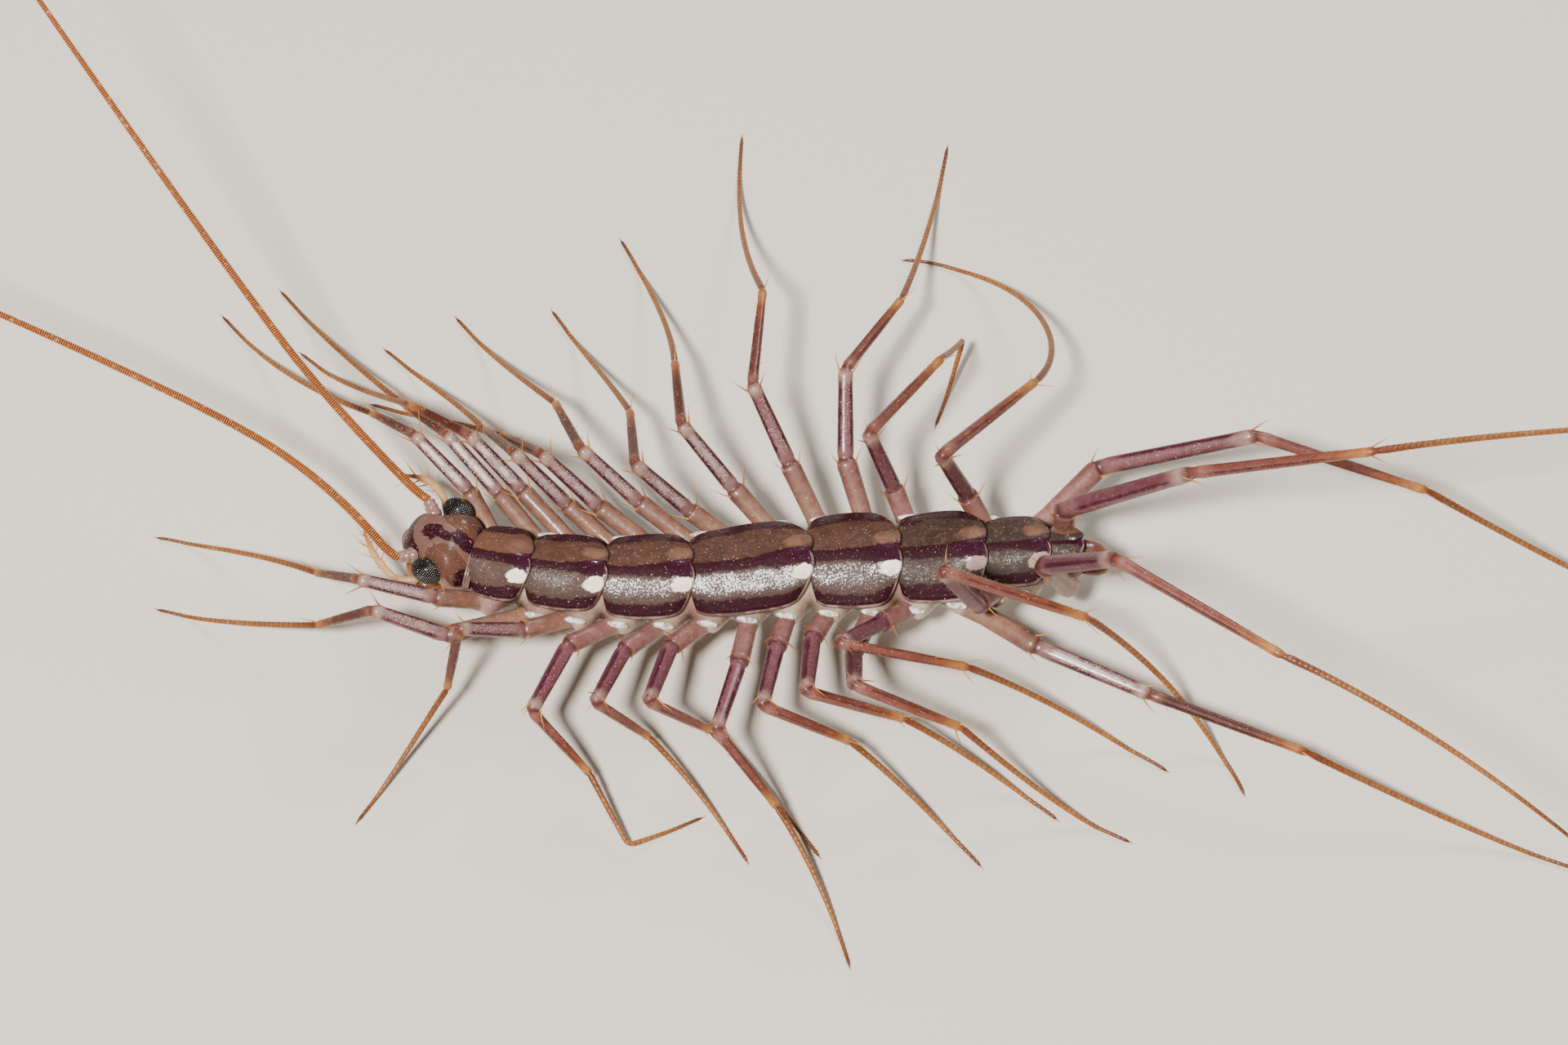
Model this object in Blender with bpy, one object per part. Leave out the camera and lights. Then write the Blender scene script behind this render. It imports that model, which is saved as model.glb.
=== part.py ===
"""House centipede (Scutigera coleoptrata), life size, standing in a walking pose.

The head points along -X, the animal's right side faces +Y and the floor is z = 0.
Sizes are in millimetres and are turned into metres where a mesh is made.
"""
import math
import random
from collections import namedtuple

import bmesh
import bpy
from mathutils import Matrix, Vector

# Units and clearances
MM = 0.001
GAP = 0.3
RIGHT = 1
LEFT = -1

# Place of the body's middle, measured from the centre of the whole spread of legs and feelers
BODY_X = 3.35
BODY_Y = -6.25

# Trunk: eight back plates, each with the stretch of trunk that it covers
TRUNK_FRONT_X = -13.2
PLATE_LENGTHS = (2.2, 3.25, 3.65, 5.1, 3.75, 3.65, 2.7, 1.6)
PLATE_HALF_WIDTHS = (1.7, 1.75, 1.95, 2.05, 2.2, 2.1, 1.6, 0.85)
SPINE_KNOTS = (
    (-13.2, 0.6),
    (-11.0, 0.15),
    (-7.5, -0.2),
    (-4.0, -0.15),
    (1.0, 0.45),
    (5.0, 0.6),
    (9.0, 0.85),
    (13.5, 1.0),
)
BACK_HEIGHT = 5.6
BACK_ARCH = 0.95
FULL_ARCH_WIDTH = 1.9
PLATE_THICKNESS = 0.45
PLATE_TILT = 0.14
PLATE_SWELL = (0.2, 0.75)
PLATE_NARROWEST = 0.8
PLATE_FRONT_CORNER = 0.12
PLATE_REAR_CORNER = 0.18
PLATE_INSET = 0.05
SADDLE_RISE = 0.16
SADDLE_REACH = 0.34
SADDLE_PLACE = 0.8
PLATE_NOTCH = 0.14
BELLY_HEIGHT = 2.2
CORE_SHARE = 0.74
CORE_STATIONS = ((0.0, 0.86), (0.2, 1.0), (0.8, 1.0), (1.0, 0.86))
CORE_SIDES = 12
CORE_REACH = 0.6
PLATE_ROWS = 6
PLATE_COLUMNS = 8
TAIL_STATIONS = ((0.0, 4.0, 0.6), (0.2, 4.0, 0.6), (0.6, 3.8, 0.5), (1.0, 3.6, 0.2))
TAIL_SIDES = 8

# Hips: legs are numbered from the head
HIPS_UNDER_PLATES = (
    {1: 0.35},
    {2: 0.25, 3: 0.75},
    {4: 0.25, 5: 0.75},
    {6: 0.17, 7: 0.5, 8: 0.83},
    {9: 0.25, 10: 0.75},
    {11: 0.25, 12: 0.75},
    {13: 0.25, 14: 0.75},
    {15: 0.65},
)
HIP_LEAST_OUT = 1.0
HIP_HEIGHT = 3.2
HIP_RADIUS = 0.46
HIP_SIDEWAYS = 0.9
HIP_DEPTH = 0.8
HIP_NECK = 0.35

# Leg segments
PREFEMUR_RADIUS = 0.46
FEMUR_RADIUS = 0.4
TIBIA_RADIUS = 0.29
TARSUS_RADIUS = 0.25
TIP_RADIUS = 0.14
LEG_SIDES = 6
FEMUR_FIRST = 3.35
FEMUR_STEP = 0.06
FEMUR_EXTRA = {12: 1.2, 13: 1.4, 14: 3.0, 15: 3.0}
TIBIA_FIRST = 3.5
TIBIA_STEP = 0.2
TIBIA_EXTRA = {11: 0.5, 12: 1.4, 13: 1.3, 14: 1.6, 15: 1.8}
TARSUS_LANDING = 0.82
TARSUS_RINGS = 8
TARSUS_STEPS = 40
TARSUS_DROOP = 1.4
JOINT_SWELL = 1.15
PREFEMUR_CLEAR = (0.4, 0.4)
FEMUR_CLEAR = (0.55, 0.55)
TIBIA_CLEAR = (0.5, 0.35)
FRONT_LEG_SHARE = 0.86

# Legs that bend round a wide gap, with the tarsus as a node of its own
PARTED_LEGS = {RIGHT: (9, 10, 11, 13, 14, 15), LEFT: (4, 7, 10, 11, 13, 15)}

# Spurs: the thorns at the far end of each leg segment, with their turns round the limb in degrees
SPUR_ROOT_RADIUS = 0.22
SPUR_TIP_RADIUS = 0.07
SPUR_SIDES = 3
SPUR_LENGTHS = {"elbow": 1.15, "knee": 1.2, "ankle": 0.95}
SPUR_TURNS = {"elbow": (50, 310), "knee": (50, 310), "ankle": (20, 180)}
SPUR_SHARE = 0.75
SPUR_DEPTH = 0.9
SPUR_SETBACKS = {"elbow": 0.3, "knee": 0.3, "ankle": 0.9}
SPUR_LEAN = 35
SPUR_JITTER = 9
SPUR_SEED = 23

Pose = namedtuple("Pose", "side number prefemur femur tibia tarsus fold tip_height")


def pose(side, number, prefemur, femur, tibia, tarsus, fold=None, tip_height=None):
    """One leg's pose: bearings and rises in degrees, lengths in millimetres.

    A bearing is counted from +X towards +Y. The prefemur is (bearing, rise, length), femur and
    tibia are (bearing, rise), and the tarsus is (first bearing, last bearing, reach on the floor).
    A folded tarsus goes on with a second stretch, (bearing, reach). A raised foot has a tip height.
    """
    return Pose(side, number, prefemur, femur, tibia, tarsus, fold, tip_height)


LEG_POSES = {
    "leg_right_01": pose(RIGHT, 1, (122, 25, 2.9), (138, 20), (135, -35), (145, 130, 9.8)),
    "leg_right_02": pose(RIGHT, 2, (130, 10, 3.6), (135, 20), (130, -33), (130, 130, 9.4)),
    "leg_right_03": pose(RIGHT, 3, (135, 15, 4.2), (145, 40), (140, -25), (135, 140, 7.3)),
    "leg_right_04": pose(RIGHT, 4, (140, 16, 3.5), (150, 45), (120, -45), (120, 140, 7.6)),
    "leg_right_05": pose(RIGHT, 5, (145, 15, 3.7), (150, 40), (129, -45), (140, 165, 6.9)),
    "leg_right_06": pose(RIGHT, 6, (145, 15, 3.7), (150, 40), (110, -35), (125, 130, 7.8)),
    "leg_right_07": pose(RIGHT, 7, (150, 20, 3.0), (160, 50), (95, -35), (110, 125, 8.1)),
    "leg_right_08": pose(RIGHT, 8, (135, 20, 3.3), (140, 40), (95, -30), (95, 120, 8.8)),
    "leg_right_09": pose(RIGHT, 9, (120, 30, 3.7), (120, 35), (85, -10), (105, 85, 11.3)),
    "leg_right_10": pose(RIGHT, 10, (110, 30, 3.6), (90, 25), (60, -20), (75, 80, 10.6)),
    "leg_right_11": pose(RIGHT, 11, (115, 30, 2.4), (145, 70), (55, -20), (70, 70, 3.2), fold=(-110, 3.6)),
    "leg_right_13": pose(RIGHT, 13, (130, 45, 2.6), (-150, 75), (50, -25), (60, 180, 13.5)),
    "leg_right_14": pose(RIGHT, 14, (42, 16, 4.5), (2, 22), (-15, -10), (-15, -20, 15.0)),
    "leg_right_15": pose(RIGHT, 15, (110, 82, 2.7), (-8, 45), (-5, 25), (10, 5, 15.0), tip_height=13.0),
    "leg_left_01": pose(LEFT, 1, (-165, 38, 2.9), (170, 10), (145, -45), (145, 170, 8.1)),
    "leg_left_02": pose(LEFT, 2, (-160, 10, 4.4), (170, 25), (170, -45), (165, 165, 7.6)),
    "leg_left_03": pose(LEFT, 3, (-155, 20, 3.0), (-160, 40), (-120, -70), (-130, -125, 6.4)),
    "leg_left_04": pose(LEFT, 4, (-145, 20, 3.0), (-115, 5), (-35, -45), (-60, -60, 3.3), fold=(25, 3.5)),
    "leg_left_05": pose(LEFT, 5, (-135, 20, 2.8), (-110, 25), (0, -60), (-40, -60, 6.6)),
    "leg_left_06": pose(LEFT, 6, (-135, 20, 2.6), (-105, 25), (5, -55), (-40, -55, 6.9)),
    "leg_left_07": pose(LEFT, 7, (-100, 20, 3.0), (-105, 15), (-40, -45), (-55, -75, 7.3)),
    "leg_left_08": pose(LEFT, 8, (-104, 25, 2.6), (-100, 25), (-5, -40), (-30, -50, 7.3)),
    "leg_left_09": pose(LEFT, 9, (-115, 25, 2.2), (-95, 30), (0, -35), (-15, -40, 7.5)),
    "leg_left_10": pose(LEFT, 10, (-110, 25, 3.1), (-90, 45), (-10, -30), (-25, -25, 8.1)),
    "leg_left_11": pose(LEFT, 11, (-135, 35, 2.8), (-130, 45), (0, -25), (0, -35, 9.3)),
    "leg_left_12": pose(LEFT, 12, (-35, 5, 4.0), (-25, 0), (-20, -5), (-20, -20, 13.0)),
    "leg_left_13": pose(LEFT, 13, (-115, 55, 3.8), (-155, 70), (-5, -30), (0, -70, 9.1)),
    "leg_left_15": pose(LEFT, 15, (-140, 70, 4.5), (-45, 60), (-35, 5), (-25, -35, 14.0), tip_height=11.0),
}

# Head, eyes and mouthparts: places on the head are (forward, out to the right, height),
# and the profile's rows are (forward, half width, crown, underside)
HEAD_BEARING = 156
HEAD_SIDESTEP = 0.2
HEAD_PROFILE = (
    (0.0, 1.25, 4.95, 3.4),
    (0.25, 1.5, 5.22, 3.3),
    (0.7, 1.68, 5.45, 3.2),
    (1.3, 1.6, 5.5, 3.15),
    (1.9, 1.3, 5.42, 3.15),
    (2.5, 1.12, 5.12, 3.2),
    (2.95, 0.9, 4.75, 3.35),
    (3.2, 0.55, 4.35, 3.7),
)
HEAD_SIDES = 16
HEAD_SQUARENESS = 0.85
EYE_PLACE = (1.5, 1.6, 4.65)
EYE_RADII = (0.66, 0.5, 0.6)
EYE_SEGMENTS = 14
EYE_RINGS = 9
FEELER_SOCKET = (2.25, 0.95, 4.5)
FEELER_START = (2.9, 1.5, 4.7)
SOCKET_RADIUS = 0.34
SOCKET_SIDES = 8

# Mouthparts: stations of (forward, out, height, radius)
PALP_ROOT = (2.2, 1.75, 3.0, 0.26)
PALPS = {
    "right": (PALP_ROOT, (2.9, 2.6, 3.15, 0.26), (3.9, 2.95, 3.1, 0.25), (4.85, 2.85, 2.9, 0.16)),
    "left": (PALP_ROOT, (2.8, 1.8, 3.1, 0.26), (4.2, 1.25, 3.1, 0.25), (5.3, 0.25, 2.95, 0.16)),
}
FORCIPULE = ((0.5, 1.25, 2.6, 0.4), (1.6, 1.45, 2.5, 0.4), (2.7, 1.0, 2.45, 0.3), (3.3, 0.3, 2.5, 0.12))

# Feelers: (distance along, bearing, rise)
FEELER_RADIUS = 0.27
FEELER_TIP_RADIUS = 0.13
FEELER_LENGTH = 36.0
FEELER_SPLIT = 17.0
FEELER_STEP = 1.3
FEELER_FINE_STEP = 0.1
FEELER_COURSES = {
    "right": (
        (0, 150, 15), (1, 141, 28), (6, 138, 32), (10, 131, 27),
        (16, 129, 24), (26, 127, 18), (36, 125, 12),
    ),
    "left": (
        (0, 150, 12), (1, 132, 16), (4.2, 143, 20), (8.3, 155, 17),
        (12, 157, 12), (24, 160, 11), (36, 161, 8),
    ),
}


def remove_all_objects():
    for item in list(bpy.data.objects):
        bpy.data.objects.remove(item, do_unlink=True)


def material(name, colour, roughness):
    made = bpy.data.materials.new(name)
    made.use_nodes = True
    shader = made.node_tree.nodes["Principled BSDF"]
    shader.inputs["Base Color"].default_value = (*colour, 1.0)
    shader.inputs["Roughness"].default_value = roughness
    shader.inputs["Metallic"].default_value = 0.0
    return made


def direction(bearing, rise=0.0):
    turn = math.radians(bearing)
    lift = math.radians(rise)
    return Vector((math.cos(lift) * math.cos(turn), math.cos(lift) * math.sin(turn), math.sin(lift)))


def between(low, high, share):
    return low + (high - low) * share


def read_stations(stations, at):
    """Values between stations, each (distance, value, ...)."""
    if at <= stations[0][0]:
        return stations[0][1:]
    for near, far in zip(stations, stations[1:]):
        if at <= far[0]:
            share = (at - near[0]) / (far[0] - near[0])
            return tuple(between(a, b, share) for a, b in zip(near[1:], far[1:]))
    return stations[-1][1:]


def make_object(name, bm, look):
    """Turn a mesh built in millimetres into a finished object in metres."""
    bmesh.ops.recalc_face_normals(bm, faces=bm.faces)
    bmesh.ops.transform(bm, matrix=Matrix.Scale(MM, 4), verts=bm.verts)
    mesh = bpy.data.meshes.new(name)
    bm.to_mesh(mesh)
    bm.free()
    mesh.shade_smooth()
    mesh.materials.append(look)
    made = bpy.data.objects.new(name, mesh)
    bpy.context.scene.collection.objects.link(made)
    return made


def skin_rings(bm, rings):
    """Join closed rings of points with quads and close both ends."""
    made = [[bm.verts.new(point) for point in ring] for ring in rings]
    count = len(made[0])
    for near, far in zip(made, made[1:]):
        for index in range(count):
            following = (index + 1) % count
            bm.faces.new((near[index], near[following], far[following], far[index]))
    bm.faces.new(made[0])
    bm.faces.new(made[-1])


def spine(x):
    """The body axis in plan: its y at x, and its slope there."""
    knots = SPINE_KNOTS
    slopes = []
    for index in range(len(knots)):
        before = knots[max(index - 1, 0)]
        after = knots[min(index + 1, len(knots) - 1)]
        slopes.append((after[1] - before[1]) / (after[0] - before[0]))
    x = min(max(x, knots[0][0]), knots[-1][0])
    for index in range(len(knots) - 1):
        start, end = knots[index], knots[index + 1]
        if x <= end[0]:
            break
    span = end[0] - start[0]
    t = (x - start[0]) / span
    y = (
        (2 * t**3 - 3 * t**2 + 1) * start[1]
        + (t**3 - 2 * t**2 + t) * span * slopes[index]
        + (3 * t**2 - 2 * t**3) * end[1]
        + (t**3 - t**2) * span * slopes[index + 1]
    )
    return y, between(slopes[index], slopes[index + 1], t)


def body_point(x, across, height):
    """A point beside the body axis: across is positive to the right."""
    y, slope = spine(x)
    turn = math.atan(slope)
    return Vector((x - across * math.sin(turn), y + across * math.cos(turn), height))


def plate_spans():
    spans = []
    start = TRUNK_FRONT_X
    for length, half_width in zip(PLATE_LENGTHS, PLATE_HALF_WIDTHS):
        spans.append((start, start + length, half_width))
        start += length
    return spans


def hip(side, number):
    """The outer end of a hip, under the plate that covers it."""
    for (start, end, half_width), shares in zip(plate_spans(), HIPS_UNDER_PLATES):
        if number in shares:
            out = max(CORE_SHARE * half_width, HIP_LEAST_OUT)
            return body_point(between(start, end, shares[number]), side * out, HIP_HEIGHT)


def slenderness(number):
    """Front legs are thinner than rear ones."""
    return between(FRONT_LEG_SHARE, 1.0, (number - 1) / 14)


def sweep(line, sides, level_rings=0, twist_from=0):
    """Rings of a tube along a line of (centre, radius).

    The last level_rings stand upright with a flat side down, so that the tube ends level.
    """
    centres = [centre for centre, radius in line]
    count = len(centres)
    tangents = []
    for index in range(count):
        ahead = centres[min(index + 1, count - 1)]
        behind = centres[max(index - 1, 0)]
        tangent = ahead - behind
        if index >= count - level_rings:
            tangent.z = 0.0
        tangents.append(tangent.normalized())
    up = tangents[0].cross(Vector((0, 0, 1))).cross(tangents[0]).normalized()
    ups = [up]
    for before, after in zip(tangents, tangents[1:]):
        up = before.rotation_difference(after) @ up
        ups.append(up)
    twist = 0.0
    if level_rings:
        level = count - level_rings
        last = tangents[level]
        upright = Vector((0, 0, 1))
        twist = math.atan2(last.dot(ups[level].cross(upright)), ups[level].dot(upright))
        step = 2 * math.pi / sides
        twist -= step * round(twist / step)
    rings = []
    for index in range(count):
        share = 1.0
        if level_rings:
            share = min(max((index - twist_from) / (count - level_rings - twist_from), 0.0), 1.0)
        turned = Matrix.Rotation(twist * share, 3, tangents[index]) @ ups[index]
        across = tangents[index].cross(turned)
        radius = line[index][1]
        ring = []
        for corner in range(sides):
            angle = 2 * math.pi * (corner + 0.5) / sides
            ring.append(centres[index] + radius * (math.cos(angle) * turned + math.sin(angle) * across))
        rings.append(ring)
    return rings


def add_tube(name, line, look, sides=LEG_SIDES, level_rings=0, twist_from=0):
    bm = bmesh.new()
    skin_rings(bm, sweep(line, sides, level_rings, twist_from))
    return make_object(name, bm, look)


def limb_stretch(start, end, radii, near, far):
    """Ring centres along one straight limb segment, kept clear of its two joints."""
    length = (end - start).length
    rings = []
    for index, radius in enumerate(radii):
        station = between(near, length - far, index / (len(radii) - 1))
        rings.append((start.lerp(end, station / length), radius))
    return rings


def femur_length(number):
    return FEMUR_FIRST + FEMUR_STEP * (number - 1) + FEMUR_EXTRA.get(number, 0.0)


def tibia_length(number):
    return TIBIA_FIRST + TIBIA_STEP * (number - 1) + TIBIA_EXTRA.get(number, 0.0)


def leg_joints(posed):
    """Hip, elbow, knee and ankle of a leg."""
    bearing, rise, length = posed.prefemur
    root = hip(posed.side, posed.number)
    elbow = root + direction(bearing, rise) * length
    knee = elbow + direction(*posed.femur) * femur_length(posed.number)
    ankle = knee + direction(*posed.tibia) * tibia_length(posed.number)
    return root, elbow, knee, ankle


def tarsus_line(posed, ankle):
    """Plan course of the tarsus, which comes down to the floor and lies flat at its end."""
    first, last, reach = posed.tarsus
    fold_reach = posed.fold[1] if posed.fold else 0.0
    total = reach + fold_reach
    foot_height = TARSUS_RADIUS * math.cos(math.pi / LEG_SIDES)
    tip_height = TIP_RADIUS * math.cos(math.pi / LEG_SIDES)
    steps = TARSUS_STEPS
    line = []
    place = ankle.copy()
    for step in range(steps + 1):
        share = step / steps
        travelled = total * share
        radius = TARSUS_RADIUS if share < TARSUS_LANDING else between(
            TARSUS_RADIUS, TIP_RADIUS, (share - TARSUS_LANDING) / (1 - TARSUS_LANDING))
        if posed.tip_height is not None:
            place.z = between(ankle.z, posed.tip_height, share**1.5)
        elif share < TARSUS_LANDING:
            place.z = foot_height + (ankle.z - foot_height) * (1 - share / TARSUS_LANDING) ** TARSUS_DROOP
        else:
            place.z = between(foot_height, tip_height, (share - TARSUS_LANDING) / (1 - TARSUS_LANDING))
        line.append((place.copy(), radius))
        heading = between(first, last, min(travelled / reach, 1.0))
        if posed.fold and travelled >= reach:
            heading = posed.fold[0]
        place += direction(heading) * (total / steps)
    return line


def add_spurs(joint, near, far, radius, look, draw):
    """Thorns round the far end of a limb segment, leaning forward and away from it."""
    along = (far - near).normalized()
    upward = along.cross(Vector((0, 0, 1))).cross(along).normalized()
    spurs = []
    for turn in SPUR_TURNS[joint]:
        angle = turn + draw.uniform(-SPUR_JITTER, SPUR_JITTER)
        out = Matrix.Rotation(math.radians(angle), 3, along) @ upward
        lean = math.radians(SPUR_LEAN + draw.uniform(-SPUR_JITTER, SPUR_JITTER))
        heading = along * math.cos(lean) + out * math.sin(lean)
        thickness = min(SPUR_ROOT_RADIUS, radius * SPUR_SHARE)
        root = far - along * SPUR_SETBACKS[joint] + out * (radius - thickness) * SPUR_DEPTH
        tip = root + heading * (SPUR_LENGTHS[joint] + radius)
        spurs.append(add_tube("spur", [(root, thickness), (tip, SPUR_TIP_RADIUS)], look, SPUR_SIDES))
    return spurs


def add_leg(name, posed, look, draw):
    root, elbow, knee, ankle = leg_joints(posed)
    facing = hip_facing(posed.side, posed.number)
    slim = slenderness(posed.number)
    prefemur = PREFEMUR_RADIUS * slim
    femur = FEMUR_RADIUS * slim
    tibia = TIBIA_RADIUS * slim
    neck = root + facing * (GAP + HIP_NECK)
    line = [(root + facing * GAP, HIP_RADIUS * slim), (neck, HIP_RADIUS * slim)]
    line += limb_stretch(neck, elbow, (prefemur, prefemur), *PREFEMUR_CLEAR)
    line.append((elbow, femur * JOINT_SWELL))
    line += limb_stretch(elbow, knee, (prefemur, femur, femur), *FEMUR_CLEAR)
    line.append((knee, tibia * JOINT_SWELL))
    line += limb_stretch(knee, ankle, (tibia, tibia, tibia), *TIBIA_CLEAR)
    course = tarsus_line(posed, ankle)
    tarsus = [course[round(index * (len(course) - 1) / TARSUS_RINGS)] for index in range(TARSUS_RINGS + 1)]
    level_rings = 0 if posed.tip_height is not None else 2
    if posed.number in PARTED_LEGS[posed.side]:
        line.append((ankle - (ankle - knee).normalized() * GAP / 2, tibia))
        leg = add_tube(name, line, look)
        onward = (tarsus[1][0] - ankle).normalized()
        tarsus[0] = (ankle + onward * GAP / 2, TARSUS_RADIUS)
        add_tube(name.replace("leg", "tarsus"), tarsus, look, LEG_SIDES, level_rings)
    else:
        leg = add_tube(name, line + tarsus, look, LEG_SIDES, level_rings, len(line))
    spurs = add_spurs("elbow", root, elbow, prefemur, look, draw)
    spurs += add_spurs("knee", elbow, knee, femur, look, draw)
    spurs += add_spurs("ankle", knee, ankle, tibia, look, draw)
    return join_pieces(leg, spurs)


def plate_half_width(half_width, share):
    """A plate is narrower in front and rounds off at its rear corners."""
    swell = math.sin(math.pi * between(*PLATE_SWELL, share))
    return half_width * between(PLATE_NARROWEST, 1.0, swell)


def plate_height(half_width, share, out):
    """The back's height: arched across, rising to the rear, with a low saddle before the rear edge."""
    arch = BACK_ARCH * out * out * min(1.0, half_width / FULL_ARCH_WIDTH)
    apart = math.hypot(out, share - SADDLE_PLACE) / SADDLE_REACH
    saddle = SADDLE_RISE * max(1 - apart * apart, 0.0)
    return BACK_HEIGHT - arch + PLATE_TILT * (share - 0.5) + saddle


def plate_mesh(start, end, half_width):
    """A curved shield: an upper and a lower sheet of points joined round the rim."""
    bm = bmesh.new()
    along = PLATE_ROWS
    across = PLATE_COLUMNS
    sheets = []
    for drop in (0.0, PLATE_THICKNESS):
        sheet = []
        for row in range(along + 1):
            share = row / along
            line = []
            for column in range(across + 1):
                out = 2 * column / across - 1
                corner = abs(out) ** 3
                notch = PLATE_NOTCH * max(1 - 3 * abs(out), 0.0)
                front = start + PLATE_FRONT_CORNER * corner
                rear = end - notch - PLATE_REAR_CORNER * corner * (end - start)
                x = between(front, rear, share)
                height = plate_height(half_width, share, out) - drop
                line.append(bm.verts.new(body_point(x, out * plate_half_width(half_width, share), height)))
            sheet.append(line)
        sheets.append(sheet)
    top, bottom = sheets
    for row in range(along):
        for column in range(across):
            for sheet in sheets:
                near, far = sheet[row], sheet[row + 1]
                bm.faces.new((near[column], near[column + 1], far[column + 1], far[column]))
    rim = [(0, column) for column in range(across)]
    rim += [(row, across) for row in range(along)]
    rim += [(along, column) for column in range(across, 0, -1)]
    rim += [(row, 0) for row in range(along, 0, -1)]
    for near, far in zip(rim, rim[1:] + rim[:1]):
        upper = (top[near[0]][near[1]], top[far[0]][far[1]])
        lower = (bottom[far[0]][far[1]], bottom[near[0]][near[1]])
        bm.faces.new(upper + lower)
    return bm


def core_mesh(start, end, half_width):
    """The soft trunk under a plate: an oval tube that rises a little into the plate."""
    bm = bmesh.new()
    rings = []
    top = BACK_HEIGHT - PLATE_THICKNESS * CORE_REACH
    middle = (top + BELLY_HEIGHT) / 2
    depth = (top - BELLY_HEIGHT) / 2
    for share, size in CORE_STATIONS:
        x = between(start, end, share)
        ring = []
        for corner in range(CORE_SIDES):
            angle = 2 * math.pi * (corner + 0.5) / CORE_SIDES
            across = CORE_SHARE * half_width * size * math.cos(angle)
            ring.append(body_point(x, across, middle + depth * size * math.sin(angle)))
        rings.append(ring)
    skin_rings(bm, rings)
    return bm


def join_pieces(base, pieces, operation="UNION"):
    """One Boolean with a collection of closed pieces; the largest closed surface is kept."""
    group = bpy.data.collections.new("pieces")
    bpy.context.scene.collection.children.link(group)
    for piece in pieces:
        bpy.context.scene.collection.objects.unlink(piece)
        group.objects.link(piece)
    step = base.modifiers.new("join", "BOOLEAN")
    step.operation = operation
    step.operand_type = "COLLECTION"
    step.collection = group
    step.solver = "EXACT"
    seen = bpy.context.evaluated_depsgraph_get()
    joined = bpy.data.meshes.new_from_object(base.evaluated_get(seen))
    base.modifiers.clear()
    looks = [slot for slot in base.data.materials]
    base.data = joined
    joined.materials.clear()
    for look in looks:
        joined.materials.append(look)
    for piece in pieces:
        bpy.data.objects.remove(piece, do_unlink=True)
    bpy.data.collections.remove(group)
    keep_largest(base)
    return base


def keep_largest(item):
    bm = bmesh.new()
    bm.from_mesh(item.data)
    left = set(bm.verts)
    surfaces = []
    while left:
        seed = left.pop()
        found = {seed}
        front = [seed]
        while front:
            vert = front.pop()
            for edge in vert.link_edges:
                other = edge.other_vert(vert)
                if other not in found:
                    found.add(other)
                    front.append(other)
        left -= found
        surfaces.append(found)
    surfaces.sort(key=len, reverse=True)
    for surface in surfaces[1:]:
        bmesh.ops.delete(bm, geom=list(surface), context="VERTS")
    bm.to_mesh(item.data)
    bm.free()


def leg_name(side, number):
    return "leg_{}_{:02d}".format("right" if side == RIGHT else "left", number)


def hip_facing(side, number):
    """The way a hip faces: part sideways, part along the leg's first segment."""
    root = hip(side, number)
    sideways = (root - body_point(root.x, 0.0, HIP_HEIGHT)).normalized()
    name = leg_name(side, number)
    if name not in LEG_POSES:
        return sideways
    bearing, rise, length = LEG_POSES[name].prefemur
    return (sideways * HIP_SIDEWAYS + direction(bearing, rise)).normalized()


def hip_boss(side, number, look):
    """A short stub that carries a leg."""
    root = hip(side, number)
    facing = hip_facing(side, number)
    line = [(root - facing * HIP_DEPTH, HIP_RADIUS * 0.9), (root, HIP_RADIUS)]
    return add_tube("boss", line, look)


def add_trunk(index, look):
    start, end, half_width = plate_spans()[index]
    start += GAP / 2
    end -= GAP / 2
    core = make_object("trunk_{}".format(index + 1), core_mesh(start, end, half_width), look)
    pieces = [make_object("plate", plate_mesh(start + PLATE_INSET, end - PLATE_INSET, half_width), look)]
    for side in (RIGHT, LEFT):
        for number in HIPS_UNDER_PLATES[index]:
            pieces.append(hip_boss(side, number, look))
    return join_pieces(core, pieces)


def head_point(forward, out, height):
    """A point on the head: forward from the neck, out to the right."""
    neck = body_point(TRUNK_FRONT_X - GAP / 2, 0.0, 0.0)
    ahead = direction(HEAD_BEARING)
    right = Vector((ahead.y, -ahead.x, 0.0))
    sidestep = HEAD_SIDESTEP * min(forward, 1.0)
    return neck + ahead * forward + right * (out + sidestep) + Vector((0, 0, height))


def head_mesh():
    bm = bmesh.new()
    rings = []
    for forward, half_width, crown, underside in HEAD_PROFILE:
        middle = (crown + underside) / 2
        depth = (crown - underside) / 2
        ring = []
        for corner in range(HEAD_SIDES):
            angle = 2 * math.pi * (corner + 0.5) / HEAD_SIDES
            out = half_width * squared(math.cos(angle))
            height = middle + depth * squared(math.sin(angle))
            if forward == 0.0:
                ring.append(body_point(TRUNK_FRONT_X - GAP / 2, out, height))
            else:
                ring.append(head_point(forward, out, height))
        rings.append(ring)
    skin_rings(bm, rings)
    return bm


def squared(value):
    """Push a sine or cosine outwards, which makes a round section a little square."""
    return math.copysign(abs(value) ** HEAD_SQUARENESS, value)


def ball_mesh(centre, radii, bearing):
    bm = bmesh.new()
    bmesh.ops.create_uvsphere(bm, u_segments=EYE_SEGMENTS, v_segments=EYE_RINGS, radius=1.0)
    size = Matrix.Diagonal((*radii, 1.0))
    turn = Matrix.Rotation(math.radians(bearing), 4, "Z")
    bmesh.ops.transform(bm, matrix=Matrix.Translation(centre) @ turn @ size, verts=bm.verts)
    return bm


def side_place(side, place):
    forward, out, height = place
    return head_point(forward, side * out, height)


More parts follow.
